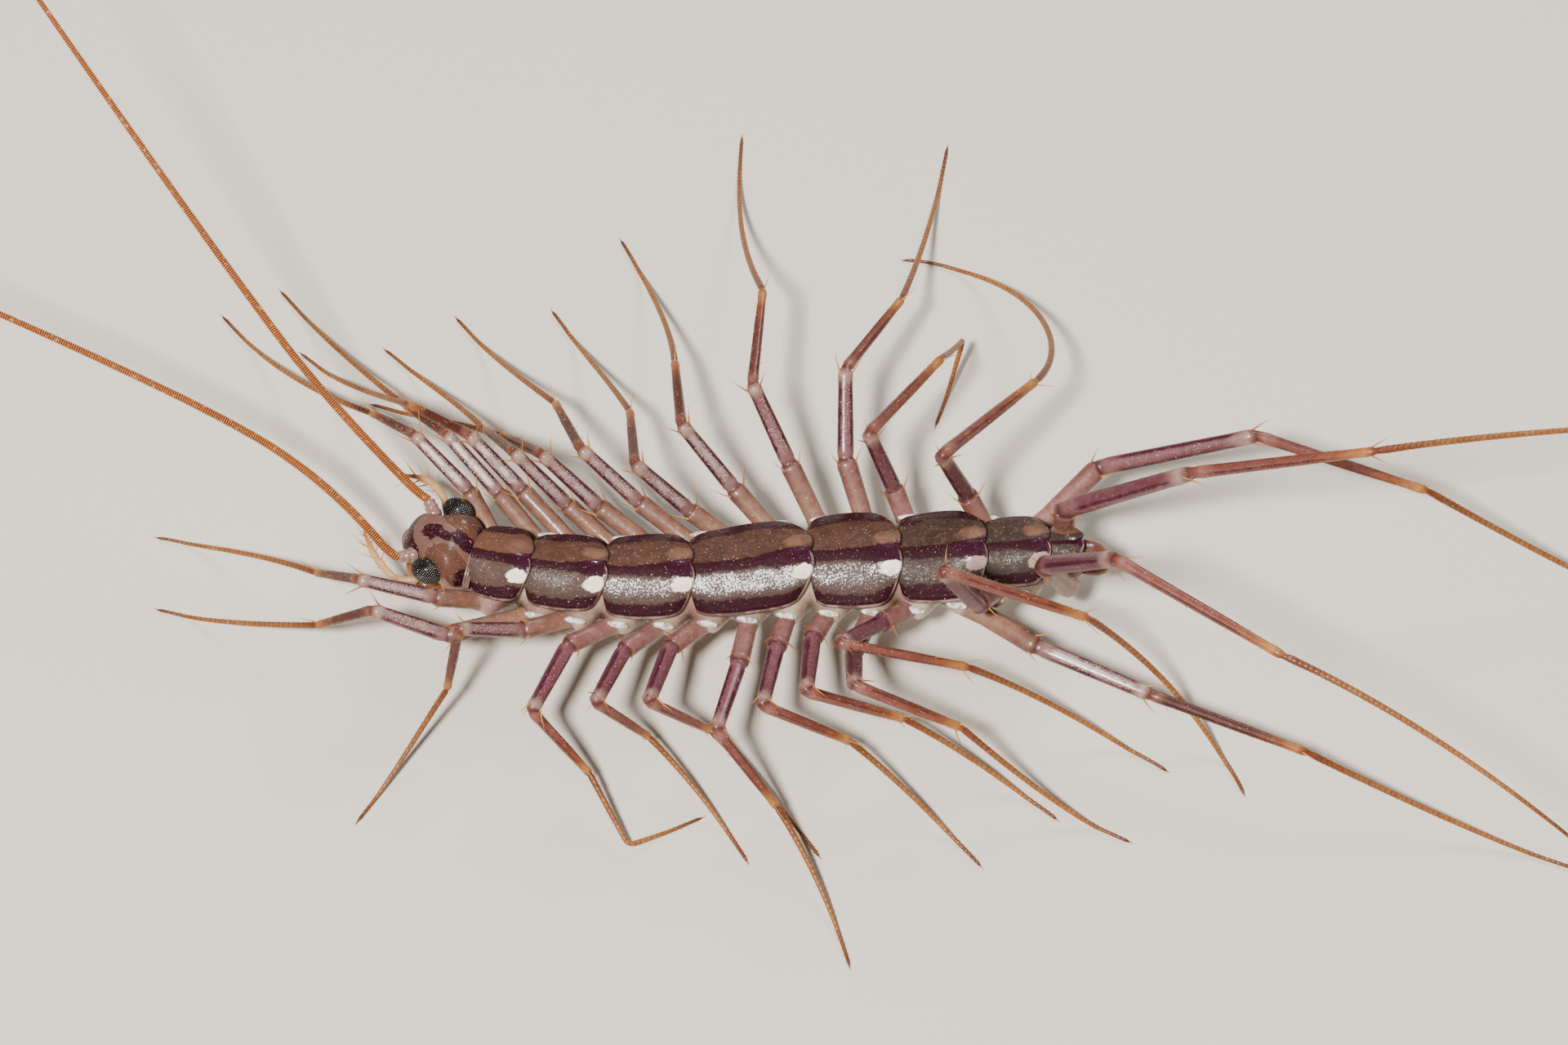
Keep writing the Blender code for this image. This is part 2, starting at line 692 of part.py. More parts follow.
def feeler_course(side_name):
    side = RIGHT if side_name == "right" else LEFT
    course = FEELER_COURSES[side_name]
    place = side_place(side, FEELER_START)
    travelled = 0.0
    line = []
    while travelled <= FEELER_LENGTH + FEELER_FINE_STEP / 2:
        line.append((travelled, place.copy()))
        place += direction(*read_stations(course, travelled)) * FEELER_FINE_STEP
        travelled += FEELER_FINE_STEP
    return line


def add_feeler(side_name, part_name, low, high, look):
    line = []
    steps = max(2, round((high - low) / FEELER_STEP))
    course = feeler_course(side_name)
    for step in range(steps + 1):
        travelled = between(low, high, step / steps)
        place = course[min(round(travelled / FEELER_FINE_STEP), len(course) - 1)][1]
        share = travelled / FEELER_LENGTH
        line.append((place, between(FEELER_RADIUS, FEELER_TIP_RADIUS, share**2)))
    return add_tube("antenna_{}_{}".format(side_name, part_name), line, look)


def add_head(look, eye_look):
    head = make_object("head", head_mesh(), look)
    sockets = []
    for side in (RIGHT, LEFT):
        root = side_place(side, FEELER_SOCKET)
        start = side_place(side, FEELER_START)
        end = start - (start - root).normalized() * GAP
        line = [(root, SOCKET_RADIUS), (end, SOCKET_RADIUS)]
        sockets.append(add_tube("socket", line, look, SOCKET_SIDES))
    join_pieces(head, sockets)
    hollows = []
    for side_name, side in (("right", RIGHT), ("left", LEFT)):
        centre = side_place(side, EYE_PLACE)
        make_object("eye_" + side_name, ball_mesh(centre, EYE_RADII, HEAD_BEARING), eye_look)
        wider = [radius + GAP for radius in EYE_RADII]
        hollows.append(make_object("hollow", ball_mesh(centre, wider, HEAD_BEARING), look))
    join_pieces(head, hollows, "DIFFERENCE")


def add_mouthparts(look, claw_look):
    for side_name, side in (("right", RIGHT), ("left", LEFT)):
        palp = [(side_place(side, station[:3]), station[3]) for station in PALPS[side_name]]
        add_tube("palp_" + side_name, palp, look)
        forcipule = [(side_place(side, station[:3]), station[3]) for station in FORCIPULE]
        add_tube("forcipule_" + side_name, forcipule, claw_look, 8)


def add_tail(look):
    start, end, half_width = plate_spans()[-1]
    line = []
    for back, height, radius in TAIL_STATIONS:
        line.append((body_point(end + GAP / 2 + back, 0.0, height), radius))
    add_tube("tail", line, look, TAIL_SIDES)


def build():
    remove_all_objects()
    shell = material("trunk_shell", (0.30, 0.20, 0.16), 0.4)
    head_look = material("head_shell", (0.32, 0.20, 0.16), 0.4)
    eye_look = material("eye", (0.01, 0.01, 0.012), 0.15)
    feeler_look = material("antenna", (0.55, 0.26, 0.08), 0.5)
    palp_look = material("palp", (0.75, 0.6, 0.35), 0.45)
    claw_look = material("claw", (0.45, 0.2, 0.08), 0.35)
    leg_look = material("leg", (0.35, 0.16, 0.18), 0.45)
    add_head(head_look, eye_look)
    add_mouthparts(palp_look, claw_look)
    for side_name in ("right", "left"):
        add_feeler(side_name, "base", 0.0, FEELER_SPLIT, feeler_look)
        add_feeler(side_name, "whip", FEELER_SPLIT + GAP, FEELER_LENGTH, feeler_look)
    for index in range(len(PLATE_LENGTHS)):
        add_trunk(index, shell)
    add_tail(shell)
    draw = random.Random(SPUR_SEED)
    for name, posed in LEG_POSES.items():
        add_leg(name, posed, leg_look, draw)
    for item in bpy.data.objects:
        item.data.transform(Matrix.Translation((BODY_X * MM, BODY_Y * MM, 0.0)))


build()
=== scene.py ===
# %% [markdown]
# A house centipede at life size, made in code. The CAD frame holds plain solids of the animal's
# parts. This lesson dresses them: a soft trunk, eight glossy back plates, the head with its faceted
# eyes, two long ringed feelers, the mouthparts, and twenty-eight legs with their spurs and bristles.
# The frame is loaded first, because every visible piece stands for one or more of its nodes.

# %% Load the frame
import math
import random

import bpy
import numpy as np
from mathutils import Matrix, Vector


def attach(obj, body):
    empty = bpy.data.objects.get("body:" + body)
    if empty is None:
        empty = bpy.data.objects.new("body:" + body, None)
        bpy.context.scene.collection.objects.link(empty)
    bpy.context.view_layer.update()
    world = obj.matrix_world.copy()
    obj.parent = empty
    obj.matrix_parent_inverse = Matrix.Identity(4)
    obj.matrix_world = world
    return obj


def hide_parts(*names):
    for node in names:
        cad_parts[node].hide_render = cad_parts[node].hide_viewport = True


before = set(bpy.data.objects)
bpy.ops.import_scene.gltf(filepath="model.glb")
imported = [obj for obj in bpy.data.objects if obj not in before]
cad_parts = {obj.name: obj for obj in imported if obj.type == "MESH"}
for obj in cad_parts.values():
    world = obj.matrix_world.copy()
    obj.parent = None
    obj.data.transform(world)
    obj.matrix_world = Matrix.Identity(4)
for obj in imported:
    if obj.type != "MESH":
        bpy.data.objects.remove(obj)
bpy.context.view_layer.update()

# %% [markdown]
# The animal is so small that metres are awkward to think in. Every size below is in millimetres, and
# one helper turns points into metres when a mesh is made. The body's own frame has the head towards
# -X and the right side towards +Y; BODY_SHIFT then brings the middle of the whole spread of legs and
# feelers to the origin, exactly as the CAD does.

# %% Units, sides and the shift of the whole body
MM = 0.001
RIGHT = 1
LEFT = -1
BODY_SHIFT = np.array((3.35, -6.25, 0.0))


def to_metres(points):
    return (np.asarray(points, dtype=float) + BODY_SHIFT) * MM


def direction(bearing, rise=0.0):
    """A unit arrow: the bearing turns from +X towards +Y and the rise lifts it, both in degrees."""
    turn = math.radians(bearing)
    lift = math.radians(rise)
    return np.array((math.cos(lift) * math.cos(turn), math.cos(lift) * math.sin(turn), math.sin(lift)))


def unit(vector):
    return vector / np.linalg.norm(vector)


print("one millimetre is", MM, "of Blender's units")

# %% [markdown]
# The trunk bends a little from side to side. A handful of knots gives the body axis in plan, and a
# smooth curve goes through them. All trunk pieces ask this axis where they are, so plates, skin and
# hips bend together.

# %% The body axis
AXIS_KNOTS = (
    (-13.2, 0.6),
    (-11.0, 0.15),
    (-7.5, -0.2),
    (-4.0, -0.15),
    (1.0, 0.45),
    (5.0, 0.6),
    (9.0, 0.85),
    (13.5, 1.0),
)


def body_axis(x):
    """The axis' y at x and its slope there, by a smooth curve through the knots."""
    knots = AXIS_KNOTS
    slopes = []
    for index in range(len(knots)):
        before = knots[max(index - 1, 0)]
        after = knots[min(index + 1, len(knots) - 1)]
        slopes.append((after[1] - before[1]) / (after[0] - before[0]))
    x = min(max(x, knots[0][0]), knots[-1][0])
    for index in range(len(knots) - 1):
        start, end = knots[index], knots[index + 1]
        if x <= end[0]:
            break
    span = end[0] - start[0]
    t = (x - start[0]) / span
    y = (2 * t**3 - 3 * t**2 + 1) * start[1] + (3 * t**2 - 2 * t**3) * end[1]
    y += ((t**3 - 2 * t**2 + t) * slopes[index] + (t**3 - t**2) * slopes[index + 1]) * span
    return y, slopes[index] + (slopes[index + 1] - slopes[index]) * t


def body_point(x, across, height):
    """A point beside the axis: across is positive to the animal's right."""
    y, slope = body_axis(x)
    turn = math.atan(slope)
    return np.array((x - across * math.sin(turn), y + across * math.cos(turn), height))


print("the axis wanders", round(body_axis(13.5)[0] - body_axis(-7.5)[0], 2), "mm to the right")

# %% [markdown]
# Eight plates cover fifteen pairs of hips, the fourth plate being the longest. Plate lengths, widths
# and the share of each plate at which its hips sit are the driving sizes of the whole trunk.

# %% Plates and hips
TRUNK_FRONT = -13.2
PLATE_LENGTHS = (2.2, 3.25, 3.65, 5.1, 3.75, 3.65, 2.7, 1.6)
PLATE_HALF_WIDTHS = (1.7, 1.75, 1.95, 2.05, 2.2, 2.1, 1.6, 0.85)
HIPS_UNDER_PLATES = (
    {1: 0.35},
    {2: 0.25, 3: 0.75},
    {4: 0.25, 5: 0.75},
    {6: 0.17, 7: 0.5, 8: 0.83},
    {9: 0.25, 10: 0.75},
    {11: 0.25, 12: 0.75},
    {13: 0.25, 14: 0.75},
    {15: 0.65},
)
BACK_HEIGHT = 5.6
BACK_ARCH = 0.95
BELLY_HEIGHT = 2.2
CORE_SHARE = 0.74
HIP_HEIGHT = 3.2
HIP_LEAST_OUT = 1.0


def plate_spans():
    starts = TRUNK_FRONT + np.concatenate(((0.0,), np.cumsum(PLATE_LENGTHS)[:-1]))
    return list(zip(starts, starts + np.array(PLATE_LENGTHS), PLATE_HALF_WIDTHS))


def hip(side, number):
    """The outer end of a hip and the x at which it sits."""
    for (start, end, half_width), shares in zip(plate_spans(), HIPS_UNDER_PLATES):
        if number in shares:
            x = start + (end - start) * shares[number]
            return body_point(x, side * max(CORE_SHARE * half_width, HIP_LEAST_OUT), HIP_HEIGHT), x


TRUNK_REAR = plate_spans()[-1][1]
HIP_XS = [hip(RIGHT, number)[1] for number in range(1, 16)]
print("trunk from", TRUNK_FRONT, "to", round(TRUNK_REAR, 2), "mm, hips at", np.round(HIP_XS, 1))

# %% [markdown]
# Most pieces are a sheet of points wrapped round a line or spread over a plate. One helper turns such
# a sheet, rows by columns, into a mesh with faces that point outwards, a UV map that follows the
# surface, and any extra values that a material wants to read. Closed tubes get a cap at each end.

# %% Sheets of points
def sheet_faces(rows, columns, wrapped, first=0):
    """Quads of a sheet and, for each corner of each quad, its (row, column) place."""
    faces = []
    corners = []
    across = columns if wrapped else columns - 1
    for row in range(rows - 1):
        for column in range(across):
            after = (column + 1) % columns
            base = first + row * columns
            faces.append((base + column, base + after, base + columns + after, base + columns + column))
            corners += [(row, column), (row, column + 1), (row + 1, column + 1), (row + 1, column)]
    return faces, corners


def new_piece(name, points, faces, look, maps=None, values=None):
    """A finished mesh object at the origin, with its UV maps and point values."""
    mesh = bpy.data.meshes.new(name)
    mesh.from_pydata(to_metres(points).tolist(), [], faces)
    mesh.shade_smooth()
    for title, corners in (maps or {}).items():
        layer = mesh.uv_layers.new(name=title)
        layer.data.foreach_set("uv", np.asarray(corners, dtype=np.float32).ravel())
    for title, numbers in (values or {}).items():
        layer = mesh.attributes.new(title, "FLOAT", "POINT")
        layer.data.foreach_set("value", np.asarray(numbers, dtype=np.float32))
    if look:
        mesh.materials.append(look)
    piece = bpy.data.objects.new(name, mesh)
    bpy.context.scene.collection.objects.link(piece)
    return piece


def dress(piece, slot, *nodes):
    """Let a piece ride with the body and stand for its CAD nodes."""
    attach(piece, "root")
    if nodes:
        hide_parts(*nodes)
    mesh = piece.data
    triangles = sum(len(polygon.vertices) - 2 for polygon in mesh.polygons)
    print("{}: {} triangles, stands for {} nodes".format(piece.name, triangles, len(nodes)))
    return piece


# %% [markdown]
# A tube needs a frame at each point of its line. The up arrow is carried from ring to ring and
# levelled against the line's direction, so the tube never twists by itself. A ring may be oval, and
# a swell value per ring and corner adds ridges and dents.

# %% Tubes along a line
def frames_along(line, up=(0.0, 0.0, 1.0)):
    tangents = np.gradient(line, axis=0)
    tangents /= np.linalg.norm(tangents, axis=1)[:, None]
    normal = np.array(up, dtype=float)
    normals = []
    for tangent in tangents:
        normal = unit(normal - np.dot(normal, tangent) * tangent)
        normals.append(normal)
    normals = np.array(normals)
    return tangents, normals, np.cross(tangents, normals)


def tube_points(line, radii, sides, swell=None, up=(0.0, 0.0, 1.0), flatten=1.0):
    """Rings of points round a line; flatten is the height of a ring over its width."""
    tangents, normals, binormals = frames_along(line, up)
    angles = 2 * np.pi * np.arange(sides) / sides
    reach = np.asarray(radii)[:, None] * np.ones(sides)
    if swell is not None:
        reach = reach * swell
    rise = (reach * np.cos(angles))[:, :, None] * normals[:, None, :] * flatten
    spread = (reach * np.sin(angles))[:, :, None] * binormals[:, None, :]
    return (line[:, None, :] + rise + spread).reshape(-1, 3)


def tube_faces(rows, sides, first=0):
    faces, corners = sheet_faces(rows, sides, True, first)
    faces.append(tuple(first + column for column in reversed(range(sides))))
    corners += [(0, column) for column in reversed(range(sides))]
    last = first + (rows - 1) * sides
    faces.append(tuple(last + column for column in range(sides)))
    corners += [(rows - 1, column) for column in range(sides)]
    return faces, corners


def add_tube(name, line, radii, sides, look, swell=None, flatten=1.0, up=(0.0, 0.0, 1.0), values=None):
    line = np.asarray(line, dtype=float)
    points = tube_points(line, radii, sides, swell, up, flatten)
    faces, corners = tube_faces(len(line), sides)
    places = [(row / (len(line) - 1), column / sides) for row, column in corners]
    return new_piece(name, points, faces, look, {"Along": places}, values)


def smooth_line(stations, count):
    """A smooth curve through stations of (x, y, z, radius), evened out to a number of rings."""
    stations = np.asarray(stations, dtype=float)
    steps = np.linalg.norm(np.diff(stations[:, :3], axis=0), axis=1)
    knots = np.concatenate(((0.0,), np.cumsum(steps)))
    slopes = np.gradient(stations, knots, axis=0)
    places = np.linspace(0.0, knots[-1], count)
    index = np.clip(np.searchsorted(knots, places) - 1, 0, len(knots) - 2)
    span = (knots[index + 1] - knots[index])[:, None]
    t = (places - knots[index])[:, None] / span
    curve = (2 * t**3 - 3 * t**2 + 1) * stations[index] + (3 * t**2 - 2 * t**3) * stations[index + 1]
    curve += ((t**3 - 2 * t**2 + t) * slopes[index] + (t**3 - t**2) * slopes[index + 1]) * span
    return curve[:, :3], curve[:, 3]


def rounded_ends(radii, rings=5, blunt=0.35):
    """Shrink the first and last rings of a tube so that its ends look rounded."""
    shaped = np.array(radii, dtype=float)
    for ring in range(rings):
        share = math.sin(math.pi / 2 * (ring + blunt) / (rings - 1 + blunt))
        shaped[ring] *= share
        shaped[-1 - ring] *= share
    return shaped


def joined(pieces, name):
    """Several meshes as one object, with the first one's name and materials."""
    with bpy.context.temp_override(active_object=pieces[0], selected_editable_objects=pieces):
        bpy.ops.object.join()
    pieces[0].name = name
    pieces[0].data.name = name
    return pieces[0]


print("tube and sheet helpers are ready")

# %% [markdown]
# Materials are written as node trees. A few short helpers make them read like arithmetic: each one
# adds a node and gives back its output, ready to be used by the next. Numbers that are the same all
# over a surface are set straight on the shader.

# %% Helpers for node trees
def feed(tree, socket, value):
    """Put a number, a colour or another node's output into a socket."""
    if isinstance(value, bpy.types.NodeSocket):
        tree.links.new(value, socket)
    elif isinstance(value, tuple) and len(value) == 3 and socket.type == "RGBA":
        socket.default_value = (*value, 1.0)
    else:
        socket.default_value = value


def sum_of(tree, operation, first, second=0.0, third=0.0):
    node = tree.nodes.new("ShaderNodeMath")
    node.operation = operation
    for socket, value in zip(node.inputs, (first, second, third)):
        feed(tree, socket, value)
    return node.outputs[0]


def step_between(tree, value, low, high, bottom=0.0, top=1.0):
    """A soft step from bottom to top as the value goes from low to high."""
    node = tree.nodes.new("ShaderNodeMapRange")
    node.interpolation_type = "SMOOTHSTEP"
    for title, number in (("Value", value), ("From Min", low), ("From Max", high), ("To Min", bottom), ("To Max", top)):
        feed(tree, node.inputs[title], number)
    return node.outputs["Result"]


def blended(tree, share, first, second, mode="MIX"):
    node = tree.nodes.new("ShaderNodeMix")
    node.data_type = "RGBA"
    node.blend_type = mode
    feed(tree, node.inputs[0], share)
    feed(tree, node.inputs[6], first)
    feed(tree, node.inputs[7], second)
    return node.outputs[2]


def noise(tree, where, scale, detail=3.0, roughness=0.5):
    node = tree.nodes.new("ShaderNodeTexNoise")
    feed(tree, node.inputs["Vector"], where)
    node.inputs["Scale"].default_value = scale
    node.inputs["Detail"].default_value = detail
    node.inputs["Roughness"].default_value = roughness
    return node.outputs["Fac"]


def colour_ramp(tree, value, stops):
    """Colours at places from 0 to 1, blended in between."""
    node = tree.nodes.new("ShaderNodeValToRGB")
    feed(tree, node.inputs["Fac"], value)
    points = node.color_ramp.elements
    points[0].position = stops[0][0]
    points[0].color = (*stops[0][1], 1.0)
    points[1].position = stops[-1][0]
    points[1].color = (*stops[-1][1], 1.0)
    for place, colour in stops[1:-1]:
        points.new(place).color = (*colour, 1.0)
    return node.outputs["Color"]


def body_places(tree):
    return tree.nodes.new("ShaderNodeTexCoord").outputs["Object"]


def surface_map(tree, title):
    """The two coordinates of a piece's own UV map."""
    source = tree.nodes.new("ShaderNodeUVMap")
    source.uv_map = title
    parts = tree.nodes.new("ShaderNodeSeparateXYZ")
    tree.links.new(source.outputs["UV"], parts.inputs[0])
    return parts.outputs[0], parts.outputs[1]


def point_value(tree, title):
    source = tree.nodes.new("ShaderNodeAttribute")
    source.attribute_name = title
    return source.outputs["Fac"]


def oval(tree, u, v, centre, radii, edge=0.25):
    """A mask that is 1 inside an oval on the surface map and fades out over its edge."""
    du = sum_of(tree, "DIVIDE", sum_of(tree, "SUBTRACT", u, centre[0]), radii[0])
    dv = sum_of(tree, "DIVIDE", sum_of(tree, "SUBTRACT", v, centre[1]), radii[1])
    apart = sum_of(tree, "SQRT", sum_of(tree, "ADD", sum_of(tree, "MULTIPLY", du, du), sum_of(tree, "MULTIPLY", dv, dv)))
    return step_between(tree, apart, 1.0 - edge, 1.0 + edge, 1.0, 0.0)


def new_look(name, roughness=0.4, coat=0.0, soft=0.0, specular=0.25):
    """A material with its shader; soft is how much light goes under the surface."""
    look = bpy.data.materials.new(name)
    look.use_nodes = True
    tree = look.node_tree
    shader = tree.nodes["Principled BSDF"]
    shader.inputs["Roughness"].default_value = roughness
    shader.inputs["Coat Weight"].default_value = coat
    shader.inputs["Coat Roughness"].default_value = 0.08
    shader.inputs["Specular IOR Level"].default_value = specular
    shader.inputs["Subsurface Weight"].default_value = soft
    shader.inputs["Subsurface Radius"].default_value = (1.0, 0.5, 0.3)
    shader.inputs["Subsurface Scale"].default_value = 0.0004
    return look, tree, shader


def add_bump(tree, shader, height, depth, strength=1.0):
    """Relief of a given depth in metres, read from a height that goes from 0 to 1."""
    node = tree.nodes.new("ShaderNodeBump")
    node.inputs["Strength"].default_value = strength
    node.inputs["Distance"].default_value = depth
    feed(tree, node.inputs["Height"], height)
    tree.links.new(node.outputs["Normal"], shader.inputs["Normal"])
    tree.links.new(node.outputs["Normal"], shader.inputs["Coat Normal"])


# %% [markdown]
# Plates, head and upper legs all carry the same fine dust of silvery grains, which catches the light
# like frost on a dark shell. The grains are painted much paler than the shell, so their colour is
# partly painted glints of light. As several materials use it, it is one shader node group: it
# sprinkles grains over a colour, more or fewer of them by a cover value, and also gives a roughness
# and a height, because the grains stand up a little and shine more than the shell between them.

# %% The silvery grains, a node group
def grain_group():
    tree = bpy.data.node_groups.new("Silvery grains", "ShaderNodeTree")
    sockets = tree.interface
    sockets.new_socket("Place", in_out="INPUT", socket_type="NodeSocketVector")
    sockets.new_socket("Shell", in_out="INPUT", socket_type="NodeSocketColor")
    sockets.new_socket("Grain", in_out="INPUT", socket_type="NodeSocketColor")
    sockets.new_socket("Cover", in_out="INPUT", socket_type="NodeSocketFloat")
    sockets.new_socket("Fineness", in_out="INPUT", socket_type="NodeSocketFloat")
    sockets.new_socket("Colour", in_out="OUTPUT", socket_type="NodeSocketColor")
    sockets.new_socket("Roughness", in_out="OUTPUT", socket_type="NodeSocketFloat")
    sockets.new_socket("Height", in_out="OUTPUT", socket_type="NodeSocketFloat")
    entry = tree.nodes.new("NodeGroupInput")
    leave = tree.nodes.new("NodeGroupOutput")
    speck = tree.nodes.new("ShaderNodeTexNoise")
    speck.inputs["Detail"].default_value = 2.0
    speck.inputs["Roughness"].default_value = 0.65
    tree.links.new(entry.outputs["Place"], speck.inputs["Vector"])
    tree.links.new(entry.outputs["Fineness"], speck.inputs["Scale"])
    threshold = sum_of(tree, "SUBTRACT", 0.72, sum_of(tree, "MULTIPLY", entry.outputs["Cover"], 0.26))
    limit = sum_of(tree, "ADD", threshold, 0.06)
    mask = step_between(tree, speck.outputs["Fac"], threshold, limit)
    mask = sum_of(tree, "MULTIPLY", mask, step_between(tree, entry.outputs["Cover"], 0.0, 0.15))
    feed(tree, leave.inputs["Colour"], blended(tree, mask, entry.outputs["Shell"], entry.outputs["Grain"]))
    feed(tree, leave.inputs["Roughness"], step_between(tree, mask, 0.0, 1.0, 0.46, 0.3))
    feed(tree, leave.inputs["Height"], mask)
    return tree


GRAINS = grain_group()


def with_grains_and_glints(tree, shell, cover, grain=(0.62, 0.60, 0.60), fineness=14000.0):
    """Place the grain group in a material; gives its colour, roughness and height."""
    node = tree.nodes.new("ShaderNodeGroup")
    node.node_tree = GRAINS
    feed(tree, node.inputs["Place"], body_places(tree))
    feed(tree, node.inputs["Shell"], shell)
    feed(tree, node.inputs["Grain"], grain)
    feed(tree, node.inputs["Cover"], cover)
    feed(tree, node.inputs["Fineness"], fineness)
    return node.outputs["Colour"], node.outputs["Roughness"], node.outputs["Height"]


def with_dust_and_glints(tree, shell):
    """A few white specks, partly dust and partly painted glints, made with the same group but coarser and sparse."""
    return with_grains_and_glints(tree, shell, 0.135, (0.66, 0.58, 0.52), 11000.0)[0]


print("node group made:", GRAINS.name)

# %% [markdown]
# Spurs, hairs and teeth are all the same thing to a computer: a slim curved thorn set on a point,
# leaning one way. That is what Geometry Nodes are for. The points come as a bare mesh whose vertices
# carry two values, lay for the way a thorn points and size for its length. The tree makes one thorn
# from a bent curve, sets a copy on every point and turns the lot into a real mesh.

# %% The thorn tree, in Geometry Nodes
def link_chain(tree, *nodes):
    """Link the geometry of each node to the next."""
    for before, after in zip(nodes, nodes[1:]):
        tree.links.new(before.outputs[0], after.inputs[0])


def named_value(tree, title, kind):
    node = tree.nodes.new("GeometryNodeInputNamedAttribute")
    node.data_type = kind
    node.inputs["Name"].default_value = title
    return node.outputs[0]


def new_tree(name, inputs):
    """A geometry tree with named inputs; gives the tree, its entry and its exit."""
    tree = bpy.data.node_groups.new(name, "GeometryNodeTree")
    tree.interface.new_socket("Geometry", in_out="INPUT", socket_type="NodeSocketGeometry")
    for title, kind, value in inputs:
        socket = tree.interface.new_socket(title, in_out="INPUT", socket_type="NodeSocket" + kind)
        if value is not None:
            socket.default_value = value
    tree.interface.new_socket("Geometry", in_out="OUTPUT", socket_type="NodeSocketGeometry")
    return tree, tree.nodes.new("NodeGroupInput"), tree.nodes.new("NodeGroupOutput")


def finish_tree(tree, last, entry, leave):
    """Realize the copies, give them their material and hand them out."""
    real = tree.nodes.new("GeometryNodeRealizeInstances")
    paint = tree.nodes.new("GeometryNodeSetMaterial")
    link_chain(tree, last, real, paint, leave)
    tree.links.new(entry.outputs["Material"], paint.inputs["Material"])


def thorn_curve(tree, entry):
    """One thorn of unit length on a bent curve, thick at the root and fine at the tip."""
    bent = tree.nodes.new("GeometryNodeCurveQuadraticBezier")
    bent.inputs["Resolution"].default_value = 4
    bent.inputs["Start"].default_value = (0.0, 0.0, 0.0)
    bent.inputs["Middle"].default_value = (0.0, 0.0, 0.5)
    tip = tree.nodes.new("ShaderNodeCombineXYZ")
    tip.inputs["Z"].default_value = 1.0
    tree.links.new(entry.outputs["Bend"], tip.inputs["X"])
    tree.links.new(tip.outputs[0], bent.inputs["End"])
    along = tree.nodes.new("GeometryNodeSplineParameter")
    left = sum_of(tree, "SUBTRACT", 1.03, along.outputs["Factor"])
    girth = sum_of(tree, "MULTIPLY", left, entry.outputs["Root share"])
    ring = tree.nodes.new("GeometryNodeCurvePrimitiveCircle")
    ring.inputs["Radius"].default_value = 1.0
    tree.links.new(entry.outputs["Sides"], ring.inputs["Resolution"])
    skin = tree.nodes.new("GeometryNodeCurveToMesh")
    skin.inputs["Fill Caps"].default_value = True
    tree.links.new(girth, skin.inputs["Scale"])
    tree.links.new(bent.outputs[0], skin.inputs["Curve"])
    tree.links.new(ring.outputs[0], skin.inputs["Profile Curve"])
    return skin


def thorn_tree():
    inputs = (("Root share", "Float", 0.06), ("Bend", "Float", 0.15), ("Sides", "Int", 5), ("Material", "Material", None))
    tree, entry, leave = new_tree("Thorns on points", inputs)
    thorn = thorn_curve(tree, entry)
    turn = tree.nodes.new("FunctionNodeAlignRotationToVector")
    turn.axis = "Z"
    tree.links.new(named_value(tree, "lay", "FLOAT_VECTOR"), turn.inputs["Vector"])
    copies = tree.nodes.new("GeometryNodeInstanceOnPoints")
    link_chain(tree, entry, copies)
    tree.links.new(thorn.outputs[0], copies.inputs["Instance"])
    tree.links.new(turn.outputs[0], copies.inputs["Rotation"])
    tree.links.new(named_value(tree, "size", "FLOAT"), copies.inputs["Scale"])
    finish_tree(tree, copies, entry, leave)
    return tree


THORNS = thorn_tree()


def grown(piece, tree, **inputs):
    """Run a geometry tree on a piece once and keep the result as its plain mesh."""
    step = piece.modifiers.new("grow", "NODES")
    step.node_group = tree
    for item in tree.interface.items_tree:
        if item.in_out == "INPUT" and item.name in inputs:
            step[item.identifier] = inputs[item.name]
    seen = bpy.context.evaluated_depsgraph_get()
    result = bpy.data.meshes.new_from_object(piece.evaluated_get(seen))
    piece.modifiers.remove(step)
    piece.data = result
    result.name = piece.name
    return piece


def seeds(name, roots, lays, sizes):
    """A bare mesh of points for the thorn tree, in metres."""
    mesh = bpy.data.meshes.new(name)
    mesh.from_pydata(to_metres(roots).tolist(), [], [])
    mesh.attributes.new("lay", "FLOAT_VECTOR", "POINT").data.foreach_set("vector", np.asarray(lays, dtype=np.float32).ravel())
    mesh.attributes.new("size", "FLOAT", "POINT").data.foreach_set("value", np.asarray(sizes, dtype=np.float32) * MM)
    piece = bpy.data.objects.new(name, mesh)
    bpy.context.scene.collection.objects.link(piece)
    return piece


def add_thorns(name, spots, look, root_share, bend=0.15, sides=5):
    """Thorns on a list of (root, lay, length) spots, as one smooth mesh."""
    roots, lays, sizes = zip(*spots)
    piece = seeds(name, roots, lays, sizes)
    grown(piece, THORNS, **{"Root share": root_share, "Bend": bend, "Sides": sides, "Material": look})
    piece.data.shade_smooth()
    return piece


print("geometry tree made:", THORNS.name)

# %% [markdown]
# Between and under the plates the living animal is soft. Its skin is pale, damp and a little see
# through, it bulges round every hip and folds between them. On the model this is one closed skin from
# neck to tail, made as a tube whose width and height change along the body, with a bulge at each hip,
# a crease between hips and small wrinkles everywhere.

# %% Soft skin: colours
def skin_look():
    look, tree, shader = new_look("Soft trunk skin", roughness=0.3, coat=0.6, soft=0.25)
    where = body_places(tree)
    patch = noise(tree, where, 900.0, 4.0)
    hollow = point_value(tree, "hollow")
    pale = blended(tree, step_between(tree, patch, 0.35, 0.7), (0.32, 0.220, 0.160), (0.48, 0.370, 0.290))
    pink = blended(tree, step_between(tree, noise(tree, where, 420.0), 0.45, 0.65), pale, (0.29, 0.170, 0.140))
    # Painted shade: the skin is darkened low on the sides between the hips, where shade falls in the creases.
    shade = blended(tree, hollow, pink, (0.05, 0.018, 0.008))
    feed(tree, shader.inputs["Base Color"], with_dust_and_glints(tree, shade))
    feed(tree, shader.inputs["Roughness"], step_between(tree, patch, 0.3, 0.7, 0.16, 0.36))
    add_bump(tree, shader, noise(tree, where, 5000.0, 5.0, 0.6), 0.00005)
    return look


SKIN = skin_look()

